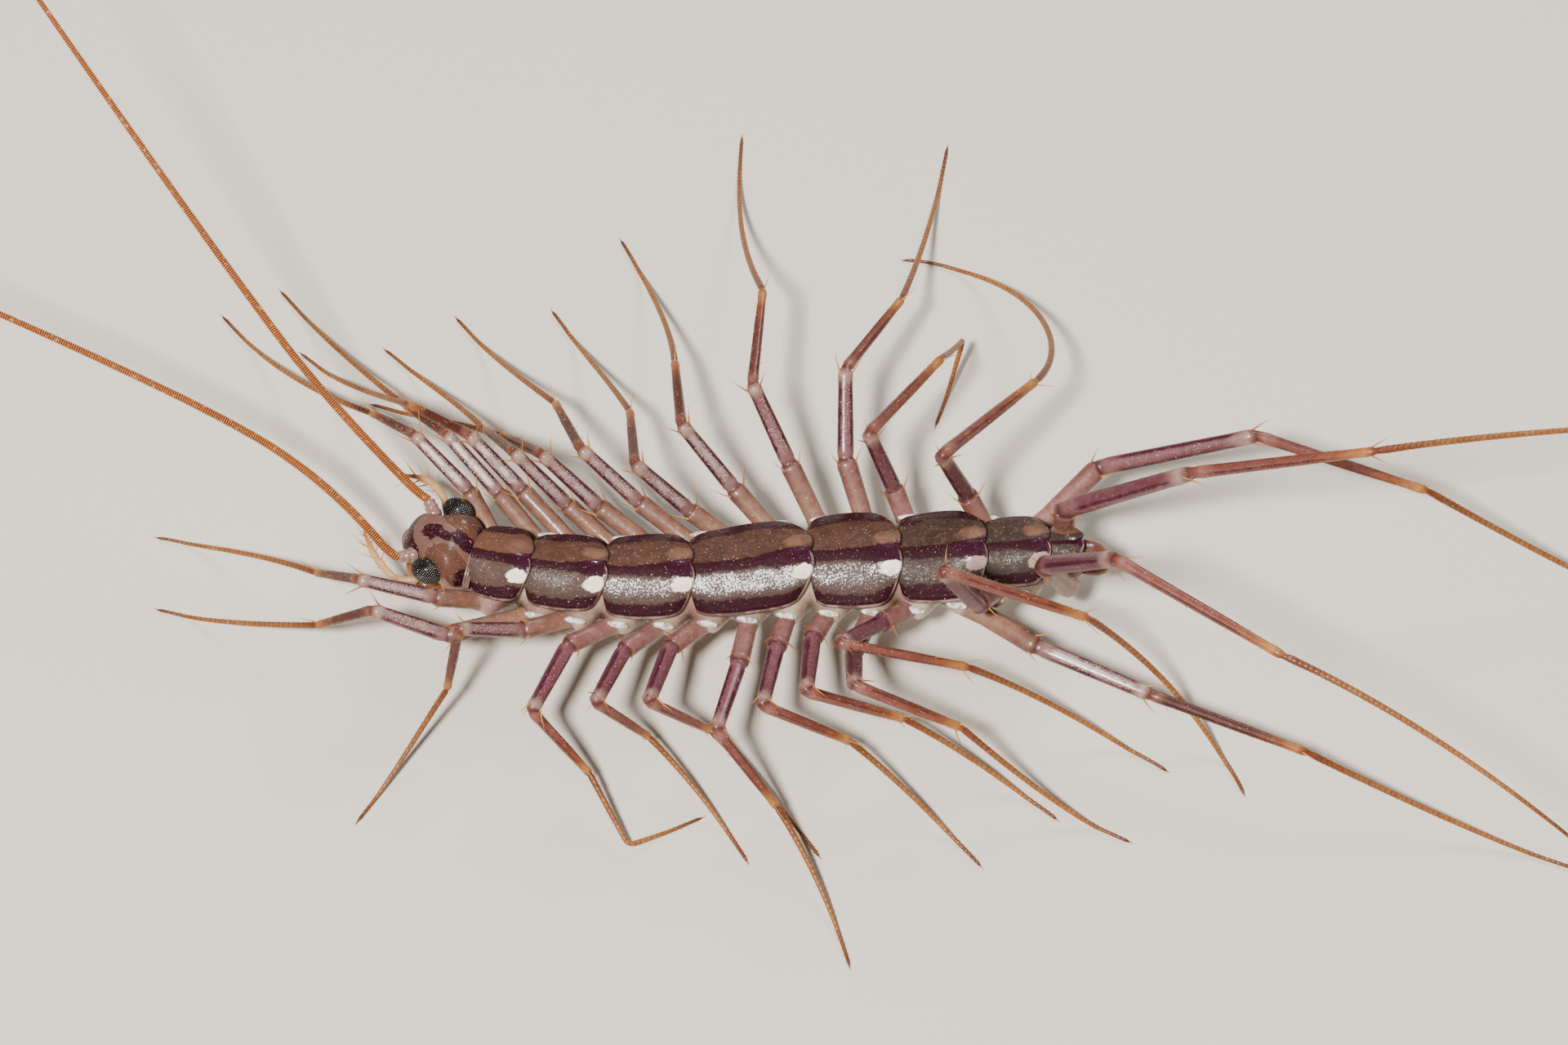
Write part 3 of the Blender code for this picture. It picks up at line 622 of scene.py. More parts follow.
# %% Soft skin: the trunk tube
SKIN_SIDES = 72
SKIN_STEP = 0.12
SKIN_FRONT = TRUNK_FRONT - 0.7
SKIN_REAR = TRUNK_REAR + 0.25
SKIN_TOP = 5.28
HIP_BULGE = 0.85
HIP_BULGE_REACH = 0.78
CREASE_DEPTH = 0.1
WRINKLE = 0.035
NECK_ROLL = 0.07


def trunk_half_width(x):
    """Half width of the soft trunk, eased from plate to plate."""
    middles = [(start + end) / 2 for start, end, half_width in plate_spans()]
    return CORE_SHARE * float(np.interp(x, middles, PLATE_HALF_WIDTHS))


def skin_point(x, angle, draw):
    """One point of the skin and how much painted crease shade it gets: angle 0 is to the right, a quarter turn is up.
    """
    out = math.cos(angle)
    up = math.sin(angle)
    neck = math.exp(-(((x - SKIN_FRONT) / 0.9) ** 2))
    rear = max(0.0, (x - TRUNK_REAR + 1.6) / 1.85)
    slim = (1.0 - 0.22 * neck) * (1.0 - 0.45 * rear**2)
    bulge = 0.0
    near_hip = 0.0
    for hip_x in HIP_XS:
        near_hip = max(near_hip, math.exp(-(((x - hip_x) / HIP_BULGE_REACH) ** 2)))
    level = math.exp(-(((up + 0.15) / 0.45) ** 2)) * abs(out) ** 1.5
    bulge += HIP_BULGE * near_hip * level * (1.0 - 0.7 * neck)
    crease = CREASE_DEPTH * (1.0 - near_hip) * level
    rolls = NECK_ROLL * neck * math.sin(2 * math.pi * (x - SKIN_FRONT) / 0.34)
    wrinkle = WRINKLE * (draw.random() - 0.5) * level
    across = (trunk_half_width(x) * slim + rolls) * math.copysign(abs(out) ** 0.9, out)
    across += math.copysign(bulge - crease + wrinkle, out)
    middle = (SKIN_TOP + BELLY_HEIGHT) / 2
    depth = (SKIN_TOP - BELLY_HEIGHT) / 2 * slim + rolls
    height = middle + 0.12 * rear + depth * math.copysign(abs(up) ** 0.85, up)
    return body_point(x, across, height), min(1.0, 1.6 * (1.0 - near_hip) * level)


def add_trunk_skin():
    draw = random.Random(5)
    rows = int((SKIN_REAR - SKIN_FRONT) / SKIN_STEP)
    points = []
    crease_shades = []
    for row in range(rows + 1):
        x = SKIN_FRONT + (SKIN_REAR - SKIN_FRONT) * row / rows
        for column in range(SKIN_SIDES):
            point, hollow = skin_point(x, 2 * math.pi * column / SKIN_SIDES, draw)
            points.append(point)
            crease_shades.append(hollow)
    faces, corners = tube_faces(rows + 1, SKIN_SIDES)
    places = [(row / rows, column / SKIN_SIDES) for row, column in corners]
    return new_piece("trunk_skin", points, faces, SKIN, {"Along": places}, {"hollow": crease_shades})


trunk_skin = add_trunk_skin()
dress(trunk_skin, "trunk_shell")

# %% [markdown]
# Low on each flank, just below the edge of the plates, sit small shining white scales, one before
# each hip. They are tiny domes, all alike, so Geometry Nodes set one flattened ball on each place.

# %% White flank scales
SCALE_LENGTH = 0.95
SCALE_TURN = 0.1
SCALE_LIFT = 0.09
SCALE_AHEAD = 0.2


def scale_tree():
    inputs = (("Length", "Float", 0.0005), ("Width share", "Float", 0.34), ("Thickness share", "Float", 0.26),
              ("Material", "Material", None))
    tree, entry, leave = new_tree("Flank scales", inputs)
    ball = tree.nodes.new("GeometryNodeMeshUVSphere")
    ball.inputs["Segments"].default_value = 14
    ball.inputs["Rings"].default_value = 9
    ball.inputs["Radius"].default_value = 0.5
    size = tree.nodes.new("ShaderNodeCombineXYZ")
    tree.links.new(entry.outputs["Length"], size.inputs["X"])
    width = sum_of(tree, "MULTIPLY", entry.outputs["Length"], entry.outputs["Width share"])
    thickness = sum_of(tree, "MULTIPLY", entry.outputs["Length"], entry.outputs["Thickness share"])
    tree.links.new(width, size.inputs["Y"])
    tree.links.new(thickness, size.inputs["Z"])
    turn = tree.nodes.new("FunctionNodeAlignRotationToVector")
    turn.axis = "Z"
    tree.links.new(named_value(tree, "lay", "FLOAT_VECTOR"), turn.inputs["Vector"])
    ahead = tree.nodes.new("FunctionNodeAlignRotationToVector")
    ahead.axis = "X"
    ahead.pivot_axis = "Z"
    ahead.inputs["Vector"].default_value = (1.0, 0.0, -0.25)
    tree.links.new(turn.outputs[0], ahead.inputs["Rotation"])
    copies = tree.nodes.new("GeometryNodeInstanceOnPoints")
    link_chain(tree, entry, copies)
    tree.links.new(ball.outputs[0], copies.inputs["Instance"])
    tree.links.new(ahead.outputs[0], copies.inputs["Rotation"])
    tree.links.new(size.outputs[0], copies.inputs["Scale"])
    finish_tree(tree, copies, entry, leave)
    return tree


def scale_look():
    look, tree, shader = new_look("White flank scale", roughness=0.18, coat=0.6, soft=0.2)
    patch = noise(tree, body_places(tree), 5200.0, 3.0)
    step = step_between(tree, patch, 0.35, 0.6)
    feed(tree, shader.inputs["Base Color"], blended(tree, step, (0.34, 0.29, 0.25), (0.80, 0.78, 0.75)))
    add_bump(tree, shader, patch, 0.00002)
    return look


def add_flank_scales():
    roots, lays, sizes = [], [], []
    for side in (RIGHT, LEFT):
        for x in HIP_XS[1:14]:
            place = x - SCALE_AHEAD
            angle = SCALE_TURN if side == RIGHT else math.pi - SCALE_TURN
            lays.append(unit(body_point(place, side, 0.9) - body_point(place, 0.0, 0.0)))
            roots.append(skin_point(place, angle, random.Random(3))[0] + lays[-1] * SCALE_LIFT)
            sizes.append(SCALE_LENGTH)
    piece = seeds("flank_scales", roots, lays, sizes)
    grown(piece, scale_tree(), **{"Length": SCALE_LENGTH * MM, "Material": scale_look()})
    piece.data.shade_smooth()
    return piece


dress(add_flank_scales(), "trunk_shell")

# %% [markdown]
# The back plates are the animal's best-known marking: dark purple along each edge, a dark purple line
# down the middle, brown between, and a pair of pale saddle spots at the rear of every plate. The two
# spots are painted as lit and shaded copies: the near one bright cream with painted light, the far one
# dull brown with painted shade. The near half of each plate is painted greyer and more silvery, with a
# pale rim line, as painted sheen and highlight from the light that falls on that side. The pattern
# belongs to the plate, so it reads two maps that lie on the plate itself. "Plate" runs from edge to
# edge and from front to rear, and "Reach" holds tenths of millimetres from the middle line and from
# the rear edge, so that the spots keep their size on long and short plates alike. Two values differ
# from plate to plate: "silver" is how thick the grains lie, and so how much painted silvery sheen the
# plate shows, and "fore" how tan the shell is.

# %% Back plates: colours
DARK_PURPLE = (0.021, 0.0006, 0.005)
DEEP_VIOLET = (0.026, 0.0008, 0.011)
PLATE_BROWN = (0.068, 0.029, 0.019)
PLATE_TAN = (0.100, 0.042, 0.026)
PLATE_SHEEN_GREY = (0.052, 0.031, 0.026)
PLATE_RIM_HIGHLIGHT = (0.34, 0.22, 0.19)
CREAM = (0.98, 0.86, 0.70)


def plate_look():
    look, tree, shader = new_look("Back plates", coat=0.22, soft=0.02, specular=0.12)
    shader.inputs["Coat Roughness"].default_value = 0.14
    where = body_places(tree)
    u, v = surface_map(tree, "Plate")
    reach_out, reach_back = surface_map(tree, "Reach")
    fore = point_value(tree, "fore")
    wavy = sum_of(tree, "MULTIPLY", sum_of(tree, "SUBTRACT", noise(tree, where, 750.0, 2.0), 0.5), 0.26)
    fine = sum_of(tree, "SUBTRACT", noise(tree, where, 3600.0, 4.0, 0.65), 0.5)
    ragged = sum_of(tree, "ADD", wavy, sum_of(tree, "MULTIPLY", fine, 0.22))
    signed = sum_of(tree, "SUBTRACT", sum_of(tree, "MULTIPLY", u, 2.0), 1.0)
    side_out = sum_of(tree, "ABSOLUTE", signed)
    out = sum_of(tree, "ADD", side_out, ragged)
    middle_out = sum_of(tree, "ABSOLUTE", sum_of(tree, "ADD", signed, 0.09))
    near_side = step_between(tree, signed, -0.15, -0.03, 1.0, 0.0)
    edge_from = sum_of(tree, "ADD", 0.67, sum_of(tree, "MULTIPLY", near_side, 0.09))
    edge_stripe = step_between(tree, sum_of(tree, "SUBTRACT", out, edge_from), -0.02, 0.03)
    widening = step_between(tree, v, 0.45, 0.95, 0.12, 0.19)
    near_rear = sum_of(tree, "MULTIPLY", near_side, step_between(tree, v, 0.6, 0.9, 0.0, 0.1))
    widening = sum_of(tree, "ADD", widening, near_rear)
    inside = sum_of(tree, "ADD", middle_out, sum_of(tree, "MULTIPLY", ragged, 0.5))
    inside = sum_of(tree, "SUBTRACT", inside, widening)
    middle_stripe = step_between(tree, inside, -0.02, 0.025, 1.0, 0.0)
    between = step_between(tree, noise(tree, where, 1500.0, 3.0), 0.4, 0.62)
    brown = blended(tree, between, PLATE_BROWN, (0.050, 0.020, 0.014))
    brown = blended(tree, fore, brown, PLATE_TAN)
    # Painted sheen: the near side is painted greyer, as the light falls on it.
    brown = blended(tree, sum_of(tree, "MULTIPLY", near_side, 0.75), brown, PLATE_SHEEN_GREY)
    brown = blended(tree, step_between(tree, fore, -0.9, 0.0, 0.9, 0.0), brown, (0.031, 0.022, 0.018))
    brown = blended(tree, step_between(tree, fine, 0.0, 0.16, 0.0, 0.35), brown, (0.150, 0.080, 0.058))
    shell = blended(tree, middle_stripe, brown, DARK_PURPLE)
    violet = sum_of(tree, "MULTIPLY", middle_stripe, step_between(tree, v, 0.6, 0.9))
    shell = blended(tree, violet, shell, DEEP_VIOLET)
    shell = blended(tree, edge_stripe, shell, DARK_PURPLE)
    # The silvery band lies thickest on the near side: painted sheen of the light falling there, over a little real
    # frost of grains.
    band = sum_of(tree, "MULTIPLY", step_between(tree, inside, 0.0, 0.1), step_between(tree, out, 0.52, 0.76, 1.0, 0.0))
    cover = sum_of(tree, "MULTIPLY", band, step_between(tree, near_side, 0.0, 1.0, 0.12, 1.0))
    cover = sum_of(tree, "MULTIPLY", cover, point_value(tree, "silver"))
    patchy = step_between(tree, noise(tree, where, 1100.0, 3.0), 0.3, 0.6, 0.7, 1.0)
    cover = sum_of(tree, "MULTIPLY", cover, patchy)
    shell = blended(tree, sum_of(tree, "MULTIPLY", cover, 0.6), shell, (0.095, 0.080, 0.080))
    cover = sum_of(tree, "ADD", sum_of(tree, "MULTIPLY", cover, 0.95), 0.1)
    colour, rough, grain_height = with_grains_and_glints(tree, shell, cover, (0.47, 0.45, 0.48), 13000.0)
    frayed = sum_of(tree, "MULTIPLY", ragged, 0.13)
    shifted = sum_of(tree, "ADD", reach_back, frayed)
    aside = sum_of(tree, "SUBTRACT", reach_out, frayed)
    # The saddle spots are one pale marking painted as lit and shaded copies: the far spot dull brown as painted shade,
    # the near spot bright cream, its real pale colour raised by painted light.
    near_spot = oval(tree, aside, shifted, (-0.086, 0.045), (0.028, 0.046), 0.12)
    far_spot = oval(tree, aside, shifted, (0.056, 0.058), (0.030, 0.058), 0.2)
    colour = blended(tree, far_spot, colour, blended(tree, between, (0.145, 0.072, 0.048), (0.105, 0.050, 0.034)))
    cream = blended(tree, step_between(tree, fore, -0.6, -0.2, 0.85, 0.0), CREAM, (0.22, 0.12, 0.12))
    colour = blended(tree, near_spot, colour, cream)
    # Painted highlight: a thin pale line along the side and rear rims of the near half, where the light glints.
    rim = sum_of(tree, "MAXIMUM", step_between(tree, side_out, 0.972, 0.985), step_between(tree, v, 0.972, 0.985))
    rim = sum_of(tree, "MULTIPLY", rim, step_between(tree, between, 0.0, 1.0, 0.3, 0.85))
    colour = with_dust_and_glints(tree, blended(tree, sum_of(tree, "MULTIPLY", rim, near_side), colour, PLATE_RIM_HIGHLIGHT))
    feed(tree, shader.inputs["Base Color"], colour)
    feed(tree, shader.inputs["Coat Weight"], step_between(tree, band, 0.0, 1.0, 0.35, 0.06))
    spots = sum_of(tree, "MAXIMUM", near_spot, far_spot)
    feed(tree, shader.inputs["Roughness"], sum_of(tree, "ADD", rough, step_between(tree, spots, 0.0, 1.0, 0.12, 0.05)))
    feed(tree, shader.inputs["Metallic"], sum_of(tree, "MULTIPLY", grain_height, 0.28))
    relief = sum_of(tree, "ADD", sum_of(tree, "MULTIPLY", grain_height, 0.6), noise(tree, where, 5200.0, 4.0))
    add_bump(tree, shader, relief, 0.00003, 0.8)
    return look


PLATE = plate_look()

# %% [markdown]
# One function gives the height of a plate anywhere: an arch across, a slight rise to the rear, a
# glossy double hump that carries the pale spots with a slit between, and a fine rolled rim. The plate
# is a thin shell of an upper and a lower sheet, and its rear edge lies over the front of the next one.

# %% Back plates: shape
PLATE_ROWS = 46
PLATE_COLUMNS = 60
PLATE_THICK = 0.09
PLATE_TILT = 0.2
PLATE_OVERLAP = 0.18
PLATE_CORNER = 0.12
RIM_ROLL = 0.055
SADDLE_RISE = 0.13
# How thick each plate's silvery grains lie, and so how much painted sheen it shows.
PLATE_SILVER = (0.2, 0.35, 0.85, 1.15, 0.8, 0.35, 0.2, 0.15)
PLATE_FORE = (1.0, 0.2, 0.1, 0.0, -0.1, -0.6, -0.9, -1.0)


def plate_width(half_width, share):
    """Half width of a plate: narrower in front, fullest behind the middle, drawn in at the rear."""
    swell = math.sin(math.pi * (0.16 + 0.6 * share))
    tuck = 0.1 * max(0.0, (share - 0.82) / 0.18) ** 2 + 0.1 * max(0.0, (0.14 - share) / 0.14) ** 2
    return half_width * (0.82 + 0.2 * swell - tuck)


def plate_top(half_width, length, share, out):
    arch = BACK_ARCH * out * out * min(1.0, half_width / 1.9)
    across = out * half_width
    behind = (1.0 - share) * length
    hump = math.exp(-(((abs(across) - 0.55) / 0.42) ** 2) - ((behind - 0.62) / 0.6) ** 2)
    slit = math.exp(-((across / 0.09) ** 2) - ((behind - 0.45) / 0.3) ** 2)
    keel = 0.03 * math.exp(-((across / 0.3) ** 2))
    rim = RIM_ROLL * math.exp(-(((abs(out) - 0.965) / 0.03) ** 2))
    rim += RIM_ROLL * 0.8 * math.exp(-(((share - 0.985) / 0.015) ** 2))
    fall = 0.12 * max(0.0, abs(out) - 0.93) / 0.07
    return BACK_HEIGHT - arch + PLATE_TILT * (share - 0.55) + SADDLE_RISE * hump - 0.07 * slit + keel + rim - fall


def plate_sheet(start, end, half_width, drop):
    """Points of one face of a plate, with their places on its two maps."""
    length = end - start
    points, places, reaches = [], [], []
    for row in range(PLATE_ROWS + 1):
        share = row / PLATE_ROWS
        for column in range(PLATE_COLUMNS + 1):
            out = math.sin(math.pi / 2 * (2 * column / PLATE_COLUMNS - 1))
            corner = abs(out) ** 3.2
            lobes = 0.1 * math.exp(-(((abs(out) - 0.33) / 0.25) ** 2)) - 0.04 * math.exp(-((out / 0.07) ** 2))
            front = start + 0.24 * corner
            rear = end - PLATE_CORNER * 1.1 * corner * length + lobes
            x = front + (rear - front) * share
            width = plate_width(half_width, share)
            height = plate_top(half_width, length, share, out) - drop
            points.append(body_point(x, out * width, height))
            places.append((0.5 + out / 2, share))
            reaches.append((out * width / 10, (rear - x) / 10))
    return points, places, reaches


def add_plate(index):
    start, end, half_width = plate_spans()[index]
    if index < len(PLATE_LENGTHS) - 1:
        end += PLATE_OVERLAP
    if index == 0:
        start -= 0.1
    top, places, reaches = plate_sheet(start, end, half_width, 0.0)
    bottom, unused, unused_too = plate_sheet(start, end, half_width, PLATE_THICK)
    rows, columns = PLATE_ROWS + 1, PLATE_COLUMNS + 1
    upper, corners = sheet_faces(rows, columns, False)
    faces = [face[::-1] for face in upper]
    order = [corner for base in range(0, len(corners), 4) for corner in corners[base:base + 4][::-1]]
    under, under_corners = sheet_faces(rows, columns, False, rows * columns)
    faces += under
    order += under_corners
    rim = [(0, column) for column in range(columns - 1)]
    rim += [(row, columns - 1) for row in range(rows - 1)]
    rim += [(rows - 1, column) for column in range(columns - 1, 0, -1)]
    rim += [(row, 0) for row in range(rows - 1, 0, -1)]
    for near, far in zip(rim, rim[1:] + rim[:1]):
        near_top = near[0] * columns + near[1]
        far_top = far[0] * columns + far[1]
        faces.append((near_top, far_top, far_top + rows * columns, near_top + rows * columns))
        order += [near, far, far, near]
    maps = {
        "Plate": [places[row * columns + column] for row, column in order],
        "Reach": [reaches[row * columns + column] for row, column in order],
    }
    count = len(top) + len(bottom)
    values = {"silver": [PLATE_SILVER[index]] * count, "fore": [PLATE_FORE[index]] * count}
    return new_piece("back_plate_{}".format(index + 1), top + bottom, faces, PLATE, maps, values)


back_plates = []
for index in range(len(PLATE_LENGTHS)):
    plate = add_plate(index)
    back_plates.append(dress(plate, "trunk_shell", "trunk_{}".format(index + 1)))

# %% [markdown]
# The plates carry a thin scatter of short bristles that lean backwards. A second tree throws points
# over a plate's surface with a fixed seed, thins them out to the upper face by its normal, and sets
# the same kind of thorn on each.

# %% Bristles of the back plates
BRISTLE_LENGTH = 0.2
BRISTLES_PER_SQUARE_MM = 1.5


def bristle_tree():
    inputs = (("Density", "Float", 1.0), ("Seed", "Int", 1), ("Length", "Float", 0.0002), ("Root share", "Float", 0.05),
              ("Bend", "Float", 0.2), ("Sides", "Int", 4), ("Material", "Material", None))
    tree, entry, leave = new_tree("Bristles on a shell", inputs)
    scatter = tree.nodes.new("GeometryNodeDistributePointsOnFaces")
    link_chain(tree, entry, scatter)
    tree.links.new(entry.outputs["Density"], scatter.inputs["Density"])
    tree.links.new(entry.outputs["Seed"], scatter.inputs["Seed"])
    normal = tree.nodes.new("ShaderNodeSeparateXYZ")
    facing = tree.nodes.new("GeometryNodeInputNormal")
    tree.links.new(facing.outputs[0], normal.inputs[0])
    upward = tree.nodes.new("FunctionNodeCompare")
    upward.inputs["B"].default_value = 0.3
    tree.links.new(normal.outputs[2], upward.inputs["A"])
    tree.links.new(upward.outputs[0], scatter.inputs["Selection"])
    lean = tree.nodes.new("ShaderNodeVectorMath")
    lean.inputs[1].default_value = (1.1, 0.0, 0.1)
    tree.links.new(scatter.outputs["Normal"], lean.inputs[0])
    turn = tree.nodes.new("FunctionNodeAlignRotationToVector")
    turn.axis = "Z"
    tree.links.new(lean.outputs[0], turn.inputs["Vector"])
    thorn = thorn_curve(tree, entry)
    size = tree.nodes.new("FunctionNodeRandomValue")
    low = sum_of(tree, "MULTIPLY", entry.outputs["Length"], 0.6)
    high = sum_of(tree, "MULTIPLY", entry.outputs["Length"], 1.4)
    tree.links.new(low, size.inputs[2])
    tree.links.new(high, size.inputs[3])
    tree.links.new(entry.outputs["Seed"], size.inputs["Seed"])
    copies = tree.nodes.new("GeometryNodeInstanceOnPoints")
    link_chain(tree, scatter, copies)
    tree.links.new(thorn.outputs[0], copies.inputs["Instance"])
    tree.links.new(turn.outputs[0], copies.inputs["Rotation"])
    tree.links.new(size.outputs[1], copies.inputs["Scale"])
    finish_tree(tree, copies, entry, leave)
    return tree


def thorn_look(name, root, tip):
    look, tree, shader = new_look(name, roughness=0.3, coat=0.2, soft=0.1)
    patch = noise(tree, body_places(tree), 700.0, 2.0)
    feed(tree, shader.inputs["Base Color"], blended(tree, step_between(tree, patch, 0.35, 0.65), root, tip))
    feed(tree, shader.inputs["Roughness"], step_between(tree, patch, 0.3, 0.7, 0.25, 0.4))
    return look


DARK_BRISTLE = thorn_look("Dark bristle", (0.09, 0.022, 0.008), (0.28, 0.10, 0.028))
BRISTLES = bristle_tree()


def add_plate_bristles():
    copies = []
    for index, plate in enumerate(back_plates):
        piece = bpy.data.objects.new("plate_bristles", plate.data)
        bpy.context.scene.collection.objects.link(piece)
        grown(piece, BRISTLES, **{
            "Density": BRISTLES_PER_SQUARE_MM / MM**2, "Seed": 11 + index, "Length": BRISTLE_LENGTH * MM,
            "Material": DARK_BRISTLE,
        })
        copies.append(piece)
    return joined(copies, "plate_bristles")


dress(add_plate_bristles(), "trunk_shell")

# %% [markdown]
# The head is a broad, low shell. It is widest across the cheeks behind the eyes, narrows to a rounded
# forehead between the feelers, and carries two smooth domes on top with a shallow valley between. It
# is shaped by profiles along its length for half width, crown and underside, with the domes added as
# soft bumps. Places on it are given as (forward from the neck, out to a side, height).

# %% Head: its own frame and profiles
HEAD_BEARING = 156.0
HEAD_LENGTH = 3.22
HEAD_SIDESTEP = 0.2
HEAD_REAR = -0.4
HEAD_ROWS = 90
HEAD_COLUMNS = 96
#                forward, half width, crown, underside
HEAD_PROFILE = (
    (-0.4, 1.12, 4.72, 3.5),
    (0.0, 1.32, 5.0, 3.4),
    (0.25, 1.52, 5.2, 3.3),
    (0.7, 1.68, 5.4, 3.2),
    (1.2, 1.58, 5.46, 3.15),
    (1.65, 1.36, 5.44, 3.15),
    (2.05, 1.18, 5.32, 3.15),
    (2.5, 1.1, 5.08, 3.2),
    (2.85, 0.98, 4.8, 3.35),
    (3.07, 0.76, 4.52, 3.55),
    (3.18, 0.44, 4.28, 3.8),
    (3.22, 0.08, 4.06, 3.98),
)
DOME_PLACE = (0.86, 0.92)
DOME_REACH = (0.8, 0.55)
DOME_RISE = 0.2
EYE_PLACE = (1.5, 1.56, 4.65)
EYE_RADII = (0.68, 0.52, 0.6)


def head_point(forward, out, height):
    neck = body_point(TRUNK_FRONT - 0.15, 0.0, 0.0)
    ahead = direction(HEAD_BEARING)
    right = np.array((ahead[1], -ahead[0], 0.0))
    ease = min(1.0, max(0.0, forward))
    return neck + ahead * forward + right * (out + HEAD_SIDESTEP * ease) + np.array((0.0, 0.0, height))


def head_profile(forward):
    line, crown = smooth_profile()
    return [float(np.interp(forward, line[:, 0], column)) for column in (line[:, 1], line[:, 2], crown)]


def smooth_profile():
    """The head's profiles as smooth curves, worked out once."""
    if not hasattr(smooth_profile, "kept"):
        smooth_profile.kept = smooth_line(HEAD_PROFILE, 240)
    return smooth_profile.kept


def head_surface(forward, angle):
    """A point of the head's shell: angle 0 is the right cheek and a quarter turn the crown."""
    half_width, crown, underside = head_profile(forward)
    side = math.cos(angle)
    up = math.sin(angle)
    middle = underside + 0.52 * (crown - underside)
    reach = crown - middle if up > 0 else middle - underside
    out = half_width * math.copysign(abs(side) ** 0.8, side)
    height = middle + reach * math.copysign(abs(up) ** 0.82, up)
    if up > 0:
        across = (abs(out) - DOME_PLACE[1]) / DOME_REACH[1]
        along = (forward - DOME_PLACE[0]) / DOME_REACH[0]
        height += DOME_RISE * math.exp(-(across**2) - along**2)
        height -= 0.07 * math.exp(-((out / 0.13) ** 2) - ((forward - 1.3) / 0.7) ** 2)
        height -= 0.06 * math.exp(-((out / 0.5) ** 2) - ((forward - 2.45) / 0.28) ** 2)
    else:
        height += 0.12 * math.exp(-((out / 0.12) ** 2)) * min(1.0, max(0.0, forward))
    seat = ((forward - EYE_PLACE[0]) / 0.8) ** 2 + ((height - EYE_PLACE[2]) / 0.62) ** 2
    out -= math.copysign(0.12 * math.exp(-(seat**2)), out) * min(1.0, abs(out))
    return out, height


# %% [markdown]
# The head's markings are a dark blotchy band down the middle, a dark line round the forehead, dark
# rear corners and warm brown domes on a paler, pinkish ground. They are painted on the head's own
# map, "Crown", which looks straight down on it, and only on its upper side. Living markings have
# ragged edges, so each soft mask is broken up by a fine noise before it is used.

# %% Head: colours
def blotches(tree, soft, grain, sharp=0.07):
    """Turn a soft mask into one with a ragged edge and a few islands."""
    lifted = sum_of(tree, "ADD", soft, sum_of(tree, "MULTIPLY", sum_of(tree, "SUBTRACT", grain, 0.5), 1.5))
    return step_between(tree, lifted, 0.5 - sharp, 0.5 + sharp)


def head_look():
    look, tree, shader = new_look("Head shell", coat=0.3, soft=0.08, specular=0.15)
    where = body_places(tree)
    u, v = surface_map(tree, "Crown")
    across = sum_of(tree, "SUBTRACT", u, 0.5)
    aside = sum_of(tree, "ABSOLUTE", across)
    ragged = noise(tree, where, 3400.0, 5.0, 0.65)
    ground = blended(tree, noise(tree, where, 1400.0, 4.0), (0.105, 0.049, 0.040), (0.165, 0.085, 0.070))
    warm = blended(tree, noise(tree, where, 2000.0, 3.0), (0.074, 0.031, 0.020), (0.110, 0.049, 0.032))
    dome = oval(tree, aside, v, (0.245, 0.17), (0.155, 0.30), 0.09)
    shell = blended(tree, dome, ground, warm)
    crease = sum_of(tree, "MULTIPLY", sum_of(tree, "MULTIPLY", dome, sum_of(tree, "SUBTRACT", 1.0, dome)), 3.0)
    crease = sum_of(tree, "MULTIPLY", crease, step_between(tree, noise(tree, where, 1000.0), 0.4, 0.6))
    shell = blended(tree, crease, shell, (0.24, 0.13, 0.105))
    rear_patch = oval(tree, across, v, (0.045, 0.09), (0.080, 0.20), 0.55)
    front_patch = oval(tree, across, v, (0.0, 0.485), (0.095, 0.120), 0.6)
    link = oval(tree, across, v, (-0.005, 0.31), (0.055, 0.17), 0.6)
    patch = sum_of(tree, "MAXIMUM", rear_patch, sum_of(tree, "MAXIMUM", front_patch, link))
    patch = blotches(tree, patch, ragged)
    forehead = oval(tree, across, v, (0.05, 0.44), (0.285, 0.27), 0.07)
    brow = sum_of(tree, "MULTIPLY", sum_of(tree, "SUBTRACT", 1.0, forehead), step_between(tree, v, 0.50, 0.58))
    corner = oval(tree, aside, v, (0.31, -0.04), (0.13, 0.10), 0.4)
    collar = step_between(tree, v, -0.06, -0.03, 0.55, 0.0)
    edges = sum_of(tree, "MAXIMUM", sum_of(tree, "MAXIMUM", brow, corner), collar)
    dark = sum_of(tree, "MAXIMUM", patch, blotches(tree, edges, ragged, 0.12))
    upper = step_between(tree, point_value(tree, "upper"), -0.12, 0.12)
    dark = sum_of(tree, "MULTIPLY", dark, upper)
    shell = blended(tree, dark, shell, blended(tree, step_between(tree, ragged, 0.45, 0.7), DARK_PURPLE, (0.036, 0.009, 0.019)))
    below = blended(tree, noise(tree, where, 900.0), (0.20, 0.090, 0.048), (0.30, 0.155, 0.092))
    shell = blended(tree, upper, below, shell)
    colour, rough, grain_height = with_grains_and_glints(tree, shell, 0.2)
    feed(tree, shader.inputs["Base Color"], with_dust_and_glints(tree, colour))
    feed(tree, shader.inputs["Roughness"], rough)
    relief = sum_of(tree, "ADD", sum_of(tree, "MULTIPLY", grain_height, 0.35), noise(tree, where, 3800.0, 4.0))
    add_bump(tree, shader, relief, 0.00002, 0.7)
    return look


HEAD = head_look()


